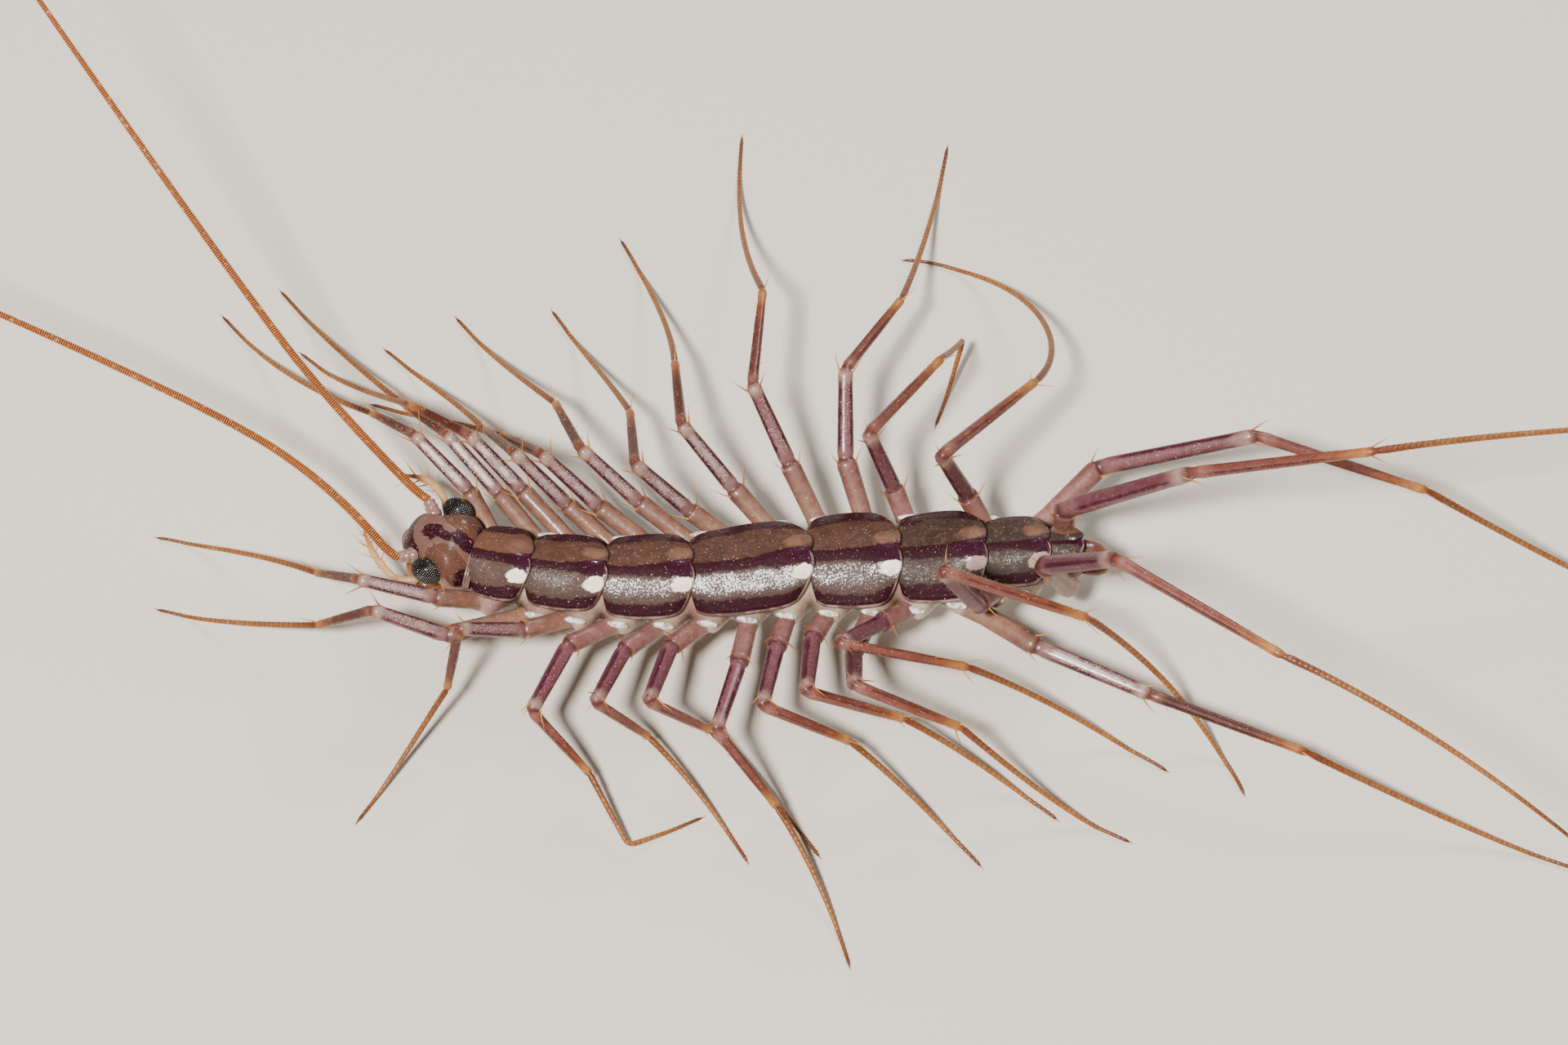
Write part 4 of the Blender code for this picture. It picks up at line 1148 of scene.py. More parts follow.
def add_head_shell():
    points, places, uppers = [], [], []
    for row in range(HEAD_ROWS + 1):
        forward = HEAD_REAR + (HEAD_LENGTH - HEAD_REAR) * math.sin(math.pi / 2 * row / HEAD_ROWS)
        for column in range(HEAD_COLUMNS):
            angle = 2 * math.pi * column / HEAD_COLUMNS
            out, height = head_surface(forward, angle)
            points.append(head_point(forward, out, height))
            places.append((0.5 + out / 4, forward / 4))
            uppers.append(math.sin(angle))
    faces, corners = tube_faces(HEAD_ROWS + 1, HEAD_COLUMNS)
    crown = [places[row * HEAD_COLUMNS + column % HEAD_COLUMNS] for row, column in corners]
    return new_piece("head_shell", points, faces, HEAD, {"Crown": crown}, {"upper": uppers})


head_parts = [add_head_shell()]
print("head shell has", len(head_parts[0].data.vertices), "points")

# %% [markdown]
# Each feeler stands in a pale, wet socket in front of the eye, a short cuff with two rolls. Behind the
# head the neck skin shows as three thin glossy folds. All are small tubes joined to the head.

# %% Feeler sockets and neck folds
FEELER_SOCKET = (2.25, 0.92, 4.5)
FEELER_START = (2.9, 1.5, 4.7)


def side_place(side, place):
    return head_point(place[0], side * place[1], place[2])


def cuff_look(name, low, high):
    look, tree, shader = new_look(name, roughness=0.2, coat=0.6, soft=0.2)
    patch = noise(tree, body_places(tree), 2600.0, 3.0)
    feed(tree, shader.inputs["Base Color"], blended(tree, patch, low, high))
    add_bump(tree, shader, patch, 0.00002)
    return look


CUFF = cuff_look("Feeler socket", (0.17, 0.085, 0.070), (0.28, 0.165, 0.140))
# The neck folds' pale colours stand for their real whitish skin and, in part, for painted glints on the wet folds.
FOLD = cuff_look("Neck fold", (0.060, 0.018, 0.020), (0.30, 0.190, 0.160))


def add_socket(side):
    start = side_place(side, FEELER_SOCKET)
    end = side_place(side, FEELER_START)
    line = [start + (end - start) * share for share in np.linspace(0.0, 1.02, 26)]
    shares = np.linspace(0.0, 1.0, 26)
    radii = 0.36 - 0.12 * shares + 0.018 * np.cos(2 * np.pi * shares * 3.5)
    return add_tube("socket", line, rounded_ends(radii, 4), 24, CUFF)


def add_neck_fold(distance, size):
    """One thin roll of skin over the neck, from cheek to cheek."""
    line, radii = [], []
    for step in range(33):
        angle = math.pi * (0.02 + 0.96 * step / 32)
        out = 1.42 * size * math.cos(angle)
        height = 4.25 + 0.88 * size * math.sin(angle) ** 0.8
        line.append(head_point(-0.02 - distance + 0.14 * out, out, height))
        radii.append(0.05)
    return add_tube("neck_fold", line, rounded_ends(radii, 4), 12, FOLD, up=(-1.0, 0.3, 0.0))


head_parts += [add_socket(side) for side in (RIGHT, LEFT)]
head_parts += [add_neck_fold(distance, size) for distance, size in ((0.0, 1.0), (0.1, 0.98), (0.2, 0.96))]
print(len(head_parts), "tubes and shells make the head so far")

# %% [markdown]
# Unlike most centipedes this one has real compound eyes. The corners of a ball of even triangles lie
# in neat rows of hexagons, so a small lens set on each of them gives several hundred lenses packed as
# in a honeycomb. The value "crest" is 1 at the top of a lens and falls off to its foot.

# %% Compound eyes
def eye_tree():
    inputs = (("Ball detail", "Int", 4), ("Lens size", "Float", 0.07), ("Radii", "Vector", (1.0, 1.0, 1.0)),
              ("Material", "Material", None))
    tree, entry, leave = new_tree("Compound eye", inputs)
    ball = tree.nodes.new("GeometryNodeMeshIcoSphere")
    ball.inputs["Radius"].default_value = 1.0
    tree.links.new(entry.outputs["Ball detail"], ball.inputs["Subdivisions"])
    lens = tree.nodes.new("GeometryNodeMeshUVSphere")
    lens.inputs["Segments"].default_value = 10
    lens.inputs["Rings"].default_value = 7
    tree.links.new(entry.outputs["Lens size"], lens.inputs["Radius"])
    lenses = tree.nodes.new("GeometryNodeInstanceOnPoints")
    tree.links.new(lens.outputs[0], lenses.inputs["Instance"])
    real = tree.nodes.new("GeometryNodeRealizeInstances")
    link_chain(tree, ball, lenses, real)
    whole = tree.nodes.new("GeometryNodeJoinGeometry")
    tree.links.new(real.outputs[0], whole.inputs[0])
    tree.links.new(ball.outputs[0], whole.inputs[0])
    place = tree.nodes.new("GeometryNodeInputPosition")
    away = tree.nodes.new("ShaderNodeVectorMath")
    away.operation = "LENGTH"
    tree.links.new(place.outputs[0], away.inputs[0])
    rise = sum_of(tree, "SUBTRACT", away.outputs["Value"], 1.0)
    crest = tree.nodes.new("GeometryNodeStoreNamedAttribute")
    crest.data_type = "FLOAT"
    crest.domain = "POINT"
    crest.inputs["Name"].default_value = "crest"
    feed(tree, crest.inputs["Value"], sum_of(tree, "DIVIDE", rise, entry.outputs["Lens size"]))
    size = tree.nodes.new("GeometryNodeTransform")
    tree.links.new(entry.outputs["Radii"], size.inputs["Scale"])
    link_chain(tree, whole, crest, size)
    finish_tree(tree, size, entry, leave)
    return tree


def eye_look():
    look, tree, shader = new_look("Eye", roughness=0.1, coat=0.3, specular=0.35)
    patch = noise(tree, body_places(tree), 3000.0, 2.0)
    black = blended(tree, patch, (0.002, 0.002, 0.002), (0.009, 0.006, 0.007))
    # Painted highlights: the top of every lens is painted pale, as a glint of the lamp.
    painted_glint = step_between(tree, point_value(tree, "crest"), 0.88, 0.985)
    feed(tree, shader.inputs["Base Color"], blended(tree, painted_glint, black, (0.60, 0.60, 0.57)))
    feed(tree, shader.inputs["Roughness"], step_between(tree, patch, 0.3, 0.7, 0.07, 0.16))
    return look


EYE_TREE = eye_tree()
EYE_LIT = Vector((0.4, -0.85, 0.1))
EYE = eye_look()


def add_eye(side_name, side):
    mesh = bpy.data.meshes.new("eye")
    piece = bpy.data.objects.new("compound_eye_" + side_name, mesh)
    bpy.context.scene.collection.objects.link(piece)
    grown(piece, EYE_TREE, **{
        "Ball detail": 4, "Lens size": 0.066, "Radii": tuple(r * 0.96 * MM for r in EYE_RADII),
        "Material": EYE,
    })
    turn = Matrix.Rotation(math.radians(HEAD_BEARING), 4, "Z") @ Matrix.Rotation(math.radians(-12.0), 4, "Y")
    centre = Vector(to_metres(side_place(side, EYE_PLACE)))
    piece.data.transform(Matrix.Translation(centre) @ turn)
    # The painted lens glints are cut down on the side away from the light, so they fade there.
    for point, value in zip(piece.data.vertices, piece.data.attributes["crest"].data):
        lit = (point.co - centre).normalized().dot(EYE_LIT)
        value.value *= min(1.0, 0.88 + 0.36 * lit)
    piece.data.shade_smooth()
    return piece


for side_name, side in (("right", RIGHT), ("left", LEFT)):
    dress(add_eye(side_name, side), "eye", "eye_" + side_name)

# %% [markdown]
# A feeler is a stack of several hundred tiny rings on a curved line, each a little barrel. The line's
# course is given by how it heads at a few distances. Then a geometry tree cuts the line into steps
# and sets one barrel on each, scaled by the line's own girth at that place.

# %% Feelers: their courses
FEELER_LENGTH = 36.0
FEELER_RADIUS = 0.205
FEELER_TIP_RADIUS = 0.085
RING_LENGTH = 0.1
#          distance, bearing, rise
FEELER_COURSES = {
    "right": ((0, 150, 15), (1, 141, 28), (6, 138, 32), (10, 131, 27), (16, 129, 24), (26, 127, 18), (36, 125, 12)),
    "left": ((0, 150, 12), (1, 132, 16), (4.2, 143, 20), (8.3, 155, 17), (12, 157, 12), (24, 160, 11), (36, 161, 8)),
}


def feeler_line(side_name, side):
    stops = np.array(FEELER_COURSES[side_name], dtype=float)
    steps = int(FEELER_LENGTH / 0.1)
    place = side_place(side, FEELER_START)
    line = []
    for step in range(steps + 1):
        line.append(place)
        heading = [np.interp(step * 0.1, stops[:, 0], stops[:, column]) for column in (1, 2)]
        place = place + direction(*heading) * 0.1
    return np.array(line)


# %% [markdown]
# The girth falls slowly at first and then faster, from half a millimetre to less than a fifth.

# %% Feelers: rings along the line
def ring_tree():
    inputs = (("Ring length", "Float", 0.0001), ("Bulge", "Float", 1.16), ("Sides", "Int", 12),
              ("Material", "Material", None))
    tree, entry, leave = new_tree("Rings along a line", inputs)
    course = tree.nodes.new("GeometryNodeMeshToCurve")
    even = tree.nodes.new("GeometryNodeResampleCurve")
    even.mode = "LENGTH"
    link_chain(tree, entry, course, even)
    tree.links.new(entry.outputs["Ring length"], even.inputs["Length"])
    core = tree.nodes.new("GeometryNodeCurvePrimitiveLine")
    core.inputs["Start"].default_value = (0.0, 0.0, -0.52)
    core.inputs["End"].default_value = (0.0, 0.0, 0.52)
    fine = tree.nodes.new("GeometryNodeResampleCurve")
    fine.inputs["Count"].default_value = 5
    link_chain(tree, core, fine)
    share = tree.nodes.new("GeometryNodeSplineParameter")
    belly = sum_of(tree, "SINE", sum_of(tree, "MULTIPLY", share.outputs["Factor"], math.pi))
    swell = sum_of(tree, "SUBTRACT", entry.outputs["Bulge"], 1.0)
    girth = sum_of(tree, "ADD", sum_of(tree, "MULTIPLY", belly, swell), 0.8)
    crest = tree.nodes.new("GeometryNodeStoreNamedAttribute")
    crest.data_type = "FLOAT"
    crest.domain = "POINT"
    crest.inputs["Name"].default_value = "crest"
    feed(tree, crest.inputs["Value"], belly)
    link_chain(tree, fine, crest)
    ring = tree.nodes.new("GeometryNodeCurvePrimitiveCircle")
    ring.inputs["Radius"].default_value = 1.0
    tree.links.new(entry.outputs["Sides"], ring.inputs["Resolution"])
    barrel = tree.nodes.new("GeometryNodeCurveToMesh")
    barrel.inputs["Fill Caps"].default_value = True
    tree.links.new(girth, barrel.inputs["Scale"])
    tree.links.new(crest.outputs[0], barrel.inputs["Curve"])
    tree.links.new(ring.outputs[0], barrel.inputs["Profile Curve"])
    size = tree.nodes.new("ShaderNodeCombineXYZ")
    width = named_value(tree, "girth", "FLOAT")
    tree.links.new(width, size.inputs["X"])
    tree.links.new(width, size.inputs["Y"])
    tree.links.new(entry.outputs["Ring length"], size.inputs["Z"])
    turn = tree.nodes.new("FunctionNodeAlignRotationToVector")
    turn.axis = "Z"
    tangent = tree.nodes.new("GeometryNodeInputTangent")
    tree.links.new(tangent.outputs[0], turn.inputs["Vector"])
    copies = tree.nodes.new("GeometryNodeInstanceOnPoints")
    link_chain(tree, even, copies)
    tree.links.new(barrel.outputs[0], copies.inputs["Instance"])
    tree.links.new(turn.outputs[0], copies.inputs["Rotation"])
    tree.links.new(size.outputs[0], copies.inputs["Scale"])
    finish_tree(tree, copies, entry, leave)
    return tree


def feeler_look():
    look, tree, shader = new_look("Feeler", coat=0.15, soft=0.12)
    where = body_places(tree)
    patch = noise(tree, where, 500.0, 3.0)
    fleck = noise(tree, where, 5200.0, 2.0)
    colour = blended(tree, step_between(tree, patch, 0.35, 0.65), (0.125, 0.023, 0.004), (0.180, 0.039, 0.006))
    ridge = step_between(tree, point_value(tree, "crest"), 0.6, 0.98, 0.0, 0.9)
    colour = blended(tree, ridge, colour, (0.44, 0.160, 0.040))
    colour = blended(tree, step_between(tree, fleck, 0.58, 0.72, 0.0, 0.6), colour, (0.62, 0.36, 0.17))
    feed(tree, shader.inputs["Base Color"], colour)
    feed(tree, shader.inputs["Roughness"], step_between(tree, fleck, 0.3, 0.7, 0.3, 0.45))
    return look


RINGS = ring_tree()
FEELER = feeler_look()


def add_feeler(side_name, side):
    line = feeler_line(side_name, side)
    share = np.linspace(0.0, 1.0, len(line))
    girth = (FEELER_RADIUS + (FEELER_TIP_RADIUS - FEELER_RADIUS) * share**1.3) * MM
    mesh = bpy.data.meshes.new("feeler")
    links = [(index, index + 1) for index in range(len(line) - 1)]
    mesh.from_pydata(to_metres(line).tolist(), links, [])
    mesh.attributes.new("girth", "FLOAT", "POINT").data.foreach_set("value", girth.astype(np.float32))
    piece = bpy.data.objects.new("feeler_" + side_name, mesh)
    bpy.context.scene.collection.objects.link(piece)
    grown(piece, RINGS, **{"Ring length": RING_LENGTH * MM, "Bulge": 1.2, "Sides": 12, "Material": FEELER})
    piece.data.shade_smooth()
    return piece, line, share


feelers = {}
for side_name, side in (("right", RIGHT), ("left", LEFT)):
    piece, line, share = add_feeler(side_name, side)
    feelers[side_name] = line
    dress(piece, "antenna", "antenna_{}_base".format(side_name), "antenna_{}_whip".format(side_name))

# %% [markdown]
# Fine hairs stand round each feeler, leaning towards its tip. Their places go round the line by the
# golden angle, which spreads them evenly without any pattern to see.

# %% Feelers: hairs
GOLD_BRISTLE = thorn_look("Golden bristle", (0.30, 0.11, 0.018), (0.52, 0.26, 0.07))


def hairs_round(line, radii, every, length, lean, draw):
    """Spots for hairs round a line, each (root, lay, length)."""
    tangents, normals, binormals = frames_along(np.asarray(line))
    spots = []
    for index in range(2, len(line) - 2, every):
        turn = 2.39996 * index + draw.uniform(-0.3, 0.3)
        out = math.cos(turn) * normals[index] + math.sin(turn) * binormals[index]
        lay = unit(out * math.sin(lean) + tangents[index] * math.cos(lean))
        spots.append((line[index] + out * radii[index] * 0.85, lay, length * draw.uniform(0.7, 1.3)))
    return spots


def add_feeler_hairs():
    draw = random.Random(17)
    spots = []
    for line in feelers.values():
        radii = np.linspace(FEELER_RADIUS, FEELER_TIP_RADIUS, len(line))
        for start in range(3):
            spots += hairs_round(line[start:], radii[start:], 3, 0.17, 0.8, draw)
    return add_thorns("feeler_hairs", spots, GOLD_BRISTLE, 0.06, 0.1, 3)


dress(add_feeler_hairs(), "antenna")

# %% [markdown]
# The mouthparts lie under the head: a pair of slim jointed palps, cream with orange tips, and the
# pair of poison claws, stout and curved, that every centipede holds below its jaws. A rounded lip and
# two jaws close the mouth in front. Each is a smooth tube whose thickness follows its joints.

# %% Mouthparts
PALPS = {
    "right": ((2.0, 1.5, 3.1, 0.2), (2.9, 2.6, 3.15, 0.17), (3.9, 2.95, 3.1, 0.15), (4.85, 2.85, 2.9, 0.05)),
    "left": ((2.0, 1.5, 3.1, 0.2), (2.8, 1.8, 3.1, 0.17), (4.2, 1.25, 3.1, 0.15), (5.3, 0.25, 2.95, 0.05)),
}
POISON_CLAW = ((0.5, 1.15, 2.65, 0.42), (1.6, 1.4, 2.55, 0.38), (2.6, 1.0, 2.5, 0.24), (3.2, 0.35, 2.5, 0.05))
JAW = ((1.6, 0.75, 3.0, 0.34), (2.4, 0.7, 3.1, 0.36), (2.95, 0.42, 3.25, 0.26), (3.15, 0.12, 3.35, 0.08))
LIP = ((2.75, -0.62, 3.75, 0.16), (3.1, -0.3, 3.62, 0.24), (3.2, 0.0, 3.58, 0.26), (3.1, 0.3, 3.62, 0.24),
       (2.75, 0.62, 3.75, 0.16))


def tipped_look(name, pale, dark, tip, start=0.6, end=0.92):
    """Glossy chitin that goes from pale at the root to dark at the tip of a piece."""
    look, tree, shader = new_look(name, roughness=0.25, coat=0.5, soft=0.2)
    where = body_places(tree)
    u, v = surface_map(tree, "Along")
    base = blended(tree, noise(tree, where, 1700.0, 3.0), pale, dark)
    colour = blended(tree, step_between(tree, u, start, end), base, tip)
    feed(tree, shader.inputs["Base Color"], colour)
    feed(tree, shader.inputs["Roughness"], step_between(tree, noise(tree, where, 3000.0), 0.3, 0.7, 0.18, 0.34))
    add_bump(tree, shader, noise(tree, where, 7000.0, 3.0), 0.000015)
    return look


PALP = tipped_look("Palp", (0.56, 0.37, 0.20), (0.42, 0.21, 0.08), (0.42, 0.13, 0.02))
CLAW = tipped_look("Poison claw", (0.26, 0.105, 0.045), (0.20, 0.07, 0.028), (0.02, 0.005, 0.003), 0.72, 0.95)


def jointed(radii, joints, depth=0.16, reach=0.035):
    """Draw a tube in at its joints, given as shares of its length."""
    share = np.linspace(0.0, 1.0, len(radii))
    shaped = np.array(radii)
    for joint in joints:
        shaped *= 1.0 - depth * np.exp(-(((share - joint) / reach) ** 2))
        shaped *= 1.0 + depth * 0.6 * np.exp(-(((share - joint + 2 * reach) / reach) ** 2))
    return shaped


def add_mouth_tube(name, side, stations, look, joints, count=64, sides=20):
    line = [(*side_place(side, station[:3]), station[3]) for station in stations]
    places, radii = smooth_line(line, count)
    return add_tube(name, places, rounded_ends(jointed(radii, joints), 5), sides, look)


palp_spots = []
for side_name, side in (("right", RIGHT), ("left", LEFT)):
    palp = add_mouth_tube("palp_" + side_name + "_skin", side, PALPS[side_name], PALP, (0.3, 0.6, 0.82))
    dress(palp, "palp", "palp_" + side_name)
    claw = add_mouth_tube("poison_claw_" + side_name, side, POISON_CLAW, CLAW, (0.38, 0.62))
    dress(claw, "claw", "forcipule_" + side_name)
    line = [(*side_place(side, station[:3]), station[3]) for station in PALPS[side_name]]
    places, radii = smooth_line(line, 60)
    palp_spots += hairs_round(places[18:], radii[18:], 1, 0.24, 0.9, random.Random(23 + side))
    palp_spots += hairs_round(places[26:], radii[26:], 2, 0.8, 0.75, random.Random(29 + side))
    head_parts.append(add_mouth_tube("jaw", side, JAW, HEAD, (0.5,)))
head_parts.append(add_mouth_tube("lip", RIGHT, LIP, HEAD, ()))
dress(add_thorns("palp_bristles", palp_spots, GOLD_BRISTLE, 0.04, 0.12, 4), "palp")
dress(joined(head_parts, "head_skin"), "head_shell", "head")

# %% [markdown]
# Every leg has four parts: a short thick first part from the hip, a long second part up to the knee,
# a slim third part, and a whip-like foot of many small rings that comes down to the floor. The pose
# of a leg is the bearing and rise of its parts, read from the animal as it stood. Two legs are
# missing, the twelfth on the right and the fourteenth on the left: these animals shed legs easily.

# %% Leg poses
#   (side, number): first part (bearing, rise, length), second (bearing, rise), third (bearing, rise),
#   foot (first bearing, last bearing, reach)
LEG_POSES = {
    ("right", 1): ((122, 25, 2.9), (138, 20), (135, -35), (145, 130, 9.8)),
    ("right", 2): ((130, 10, 3.6), (135, 20), (130, -33), (130, 130, 9.4)),
    ("right", 3): ((135, 15, 4.2), (145, 40), (140, -25), (135, 140, 7.3)),
    ("right", 4): ((140, 16, 3.5), (150, 45), (120, -45), (120, 140, 7.6)),
    ("right", 5): ((145, 15, 3.7), (150, 40), (129, -45), (140, 165, 6.9)),
    ("right", 6): ((145, 15, 3.7), (150, 40), (110, -35), (125, 130, 7.8)),
    ("right", 7): ((150, 20, 3.0), (160, 50), (95, -35), (110, 125, 8.1)),
    ("right", 8): ((135, 20, 3.3), (140, 40), (95, -30), (95, 120, 8.8)),
    ("right", 9): ((120, 30, 3.7), (120, 35), (85, -10), (105, 85, 11.3)),
    ("right", 10): ((110, 30, 3.6), (90, 25), (60, -20), (75, 80, 10.6)),
    ("right", 11): ((115, 30, 2.4), (145, 70), (55, -20), (70, 70, 3.2)),
    ("right", 13): ((130, 45, 2.6), (-150, 75), (50, -25), (60, 180, 13.5)),
    ("right", 14): ((42, 16, 4.5), (2, 22), (-15, -10), (-15, -20, 15.0)),
    ("right", 15): ((110, 82, 2.7), (-8, 45), (-5, 25), (10, 5, 15.0)),
    ("left", 1): ((-165, 38, 2.9), (170, 10), (145, -45), (145, 170, 8.1)),
    ("left", 2): ((-160, 10, 4.4), (170, 25), (170, -45), (165, 165, 7.6)),
    ("left", 3): ((-155, 20, 3.0), (-160, 40), (-120, -70), (-130, -125, 6.4)),
    ("left", 4): ((-145, 20, 3.0), (-115, 5), (-35, -45), (-60, -60, 3.3)),
    ("left", 5): ((-135, 20, 2.8), (-110, 25), (0, -60), (-40, -60, 6.6)),
    ("left", 6): ((-135, 20, 2.6), (-105, 25), (5, -55), (-40, -55, 6.9)),
    ("left", 7): ((-100, 20, 3.0), (-105, 15), (-40, -45), (-55, -75, 7.3)),
    ("left", 8): ((-104, 25, 2.6), (-100, 25), (-5, -40), (-30, -50, 7.3)),
    ("left", 9): ((-115, 25, 2.2), (-95, 30), (0, -35), (-15, -40, 7.5)),
    ("left", 10): ((-110, 25, 3.1), (-90, 45), (-10, -30), (-25, -25, 8.1)),
    ("left", 11): ((-135, 35, 2.8), (-130, 45), (0, -25), (0, -35, 9.3)),
    ("left", 12): ((-35, 5, 4.0), (-25, 0), (-20, -5), (-20, -20, 13.0)),
    ("left", 13): ((-115, 55, 3.8), (-155, 70), (-5, -30), (0, -70, 9.1)),
    ("left", 15): ((-140, 70, 4.5), (-45, 60), (-35, 5), (-25, -35, 14.0)),
}
FOLDED_FEET = {("right", 11): (-110, 3.6), ("left", 4): (25, 3.5)}
RAISED_TIPS = {("right", 15): 13.0, ("left", 15): 11.0}
PARTED_LEGS = {"right": (9, 10, 11, 13, 14, 15), "left": (4, 7, 10, 11, 13, 15)}
SECOND_FIRST, SECOND_STEP = 3.35, 0.06
SECOND_EXTRA = {12: 1.2, 13: 1.4, 14: 3.0, 15: 3.0}
THIRD_FIRST, THIRD_STEP = 3.5, 0.2
THIRD_EXTRA = {11: 0.5, 12: 1.4, 13: 1.3, 14: 1.6, 15: 1.8}
FOOT_LANDING = 0.82
FOOT_DROOP = 1.4
FRONT_LEG_SHARE = 0.86
# How far each leg is painted towards the near, less lit row of colours: 0 far, 1 near; below 0 the painted streak is
# stronger.
LEG_SHADE_SHARES = {("left", 1): 0.1, ("left", 2): 0.1, ("left", 3): 0.2, ("left", 12): -0.3, ("right", 11): 0.8, ("right", 13): 0.8,
              ("right", 14): 0.9, ("right", 15): 0.7, ("right", 9): 0.35, ("right", 10): 0.6, ("right", 1): -0.5, ("right", 2): -0.5, ("right", 3): -0.5}
print(len(LEG_POSES), "legs to build")

# %% [markdown]
# The middle line of a leg is found first. Each of its points gets a leg coordinate: 0 at the hip, 1,
# 2 and 3 at the joints, 4 at the tip of the foot. The corners at the joints are rounded by averaging
# the line over a short stretch. The foot sinks in a curve until it lies on the floor.

# %% The middle line of a leg
LINE_STEP = 0.05
CORNER_ROUNDING = 5
HIP_DEPTH = 0.55


def foot_radius(coordinate):
    return float(np.interp(coordinate, LEG_GIRTHS[:, 0], LEG_GIRTHS[:, 1]))


def foot_line(key, ankle):
    first, last, reach = LEG_POSES[key][3]
    fold_bearing, fold_reach = FOLDED_FEET.get(key, (0.0, 0.0))
    total = reach + fold_reach
    steps = int(total / LINE_STEP)
    place = ankle.copy()
    line = []
    for step in range(steps + 1):
        share = step / steps
        rest = foot_radius(3.0 + share)
        if key in RAISED_TIPS:
            place[2] = ankle[2] + (RAISED_TIPS[key] - ankle[2]) * share**1.5
        elif share < FOOT_LANDING:
            place[2] = rest + (ankle[2] - rest) * (1 - share / FOOT_LANDING) ** FOOT_DROOP
        else:
            place[2] = rest
        line.append(place.copy())
        heading = first + (last - first) * min(total * share / reach, 1.0)
        if fold_reach and total * share >= reach:
            heading = fold_bearing
        place = place + direction(heading) * total / steps
    return line


def leg_line(key):
    """Points of a leg's middle line and their leg coordinates."""
    side_name, number = key
    side = RIGHT if side_name == "right" else LEFT
    (bearing, rise, length), second, third, foot = LEG_POSES[key]
    root, x = hip(side, number)
    second_length = SECOND_FIRST + SECOND_STEP * (number - 1) + SECOND_EXTRA.get(number, 0.0)
    third_length = THIRD_FIRST + THIRD_STEP * (number - 1) + THIRD_EXTRA.get(number, 0.0)
    joints = [root - direction(bearing, rise) * HIP_DEPTH, root]
    joints.append(root + direction(bearing, rise) * length)
    joints.append(joints[-1] + direction(*second) * second_length)
    joints.append(joints[-1] + direction(*third) * third_length)
    line, places = [], []
    for index, (start, end) in enumerate(zip(joints, joints[1:])):
        steps = max(2, int(np.linalg.norm(end - start) / LINE_STEP))
        for step in range(steps):
            line.append(start + (end - start) * step / steps)
            places.append(index - 1 + step / steps)
    foot_points = foot_line(key, joints[-1])
    line += foot_points
    places += list(3.0 + np.arange(len(foot_points)) / (len(foot_points) - 1))
    line = np.array(line)
    padded = np.concatenate((np.repeat(line[:1], CORNER_ROUNDING, 0), line, np.repeat(line[-1:], CORNER_ROUNDING, 0)))
    window = 2 * CORNER_ROUNDING + 1
    rounded = sum(padded[shift:shift + len(line)] for shift in range(window)) / window
    return rounded, np.array(places)


# %% [markdown]
# The girth of a leg is a table over the same coordinate: each part swells before its far end and is
# drawn in at the joint. The long parts have four low ridges, and the foot is cut into rings about a
# quarter of a millimetre long by shallow grooves.

# %% Leg skins
LEG_GIRTHS = np.array((
    (-1.0, 0.42), (0.0, 0.54), (0.12, 0.56), (0.22, 0.45), (0.3, 0.45), (0.8, 0.48), (0.92, 0.50), (0.965, 0.47), (1.0, 0.38),
    (1.03, 0.36), (1.07, 0.40), (1.5, 0.375), (1.85, 0.345), (1.93, 0.365), (1.97, 0.335), (2.0, 0.265),
    (2.02, 0.25), (2.06, 0.28), (2.15, 0.255), (2.6, 0.235), (2.9, 0.195), (2.955, 0.215), (2.985, 0.19),
    (3.0, 0.145), (3.01, 0.145), (3.03, 0.165), (3.1, 0.15), (3.6, 0.115), (3.97, 0.075), (4.0, 0.03),
))
LEG_SIDES = 20
LEG_UP = (0.0, -0.4, 0.92)
RIDGES = 4
RIDGE_TURN = 0.125
RIDGE_HEIGHT = 0.055
FOOT_RING = 0.26
FOOT_RING_STEPS = ((0.0, 0.88, 1.0), (0.16, 0.99, 0.15), (0.5, 1.03, 0.0), (0.84, 1.0, 0.0))


def slenderness(number):
    return FRONT_LEG_SHARE + (1.0 - FRONT_LEG_SHARE) * (number - 1) / 14


def ring_places(foot_length):
    """Leg coordinates at which rings of points are set, with a girth factor and a groove value."""
    places = [(a, 1.0, 0.0) for a in np.linspace(-1.0, 0.75, 9)]
    for joint in (1.0, 2.0, 3.0):
        places += [(joint + shift, 1.0, 0.0) for shift in (-0.17, -0.11, -0.08, -0.055, -0.035, -0.018, 0.0)]
        if joint < 3.0:
            places += [(joint + shift, 1.0, 0.0) for shift in (0.015, 0.03, 0.045, 0.06, 0.08, 0.12)]
            places += [(a, 1.0, 0.0) for a in np.linspace(joint + 0.17, joint + 0.79, 14)]
    count = int(foot_length / FOOT_RING)
    for ring in range(count):
        for share, factor, groove in FOOT_RING_STEPS:
            depth = 0.5 if ring < 2 else 1.0
            places.append((3.012 + 0.96 * (ring + share) / count, 1.0 + (factor - 1.0) * depth, groove * depth))
    places += [(3.98, 1.0, 0.0), (3.99, 0.95, 0.0), (4.0, 1.0, 0.0)]
    return np.array(places)


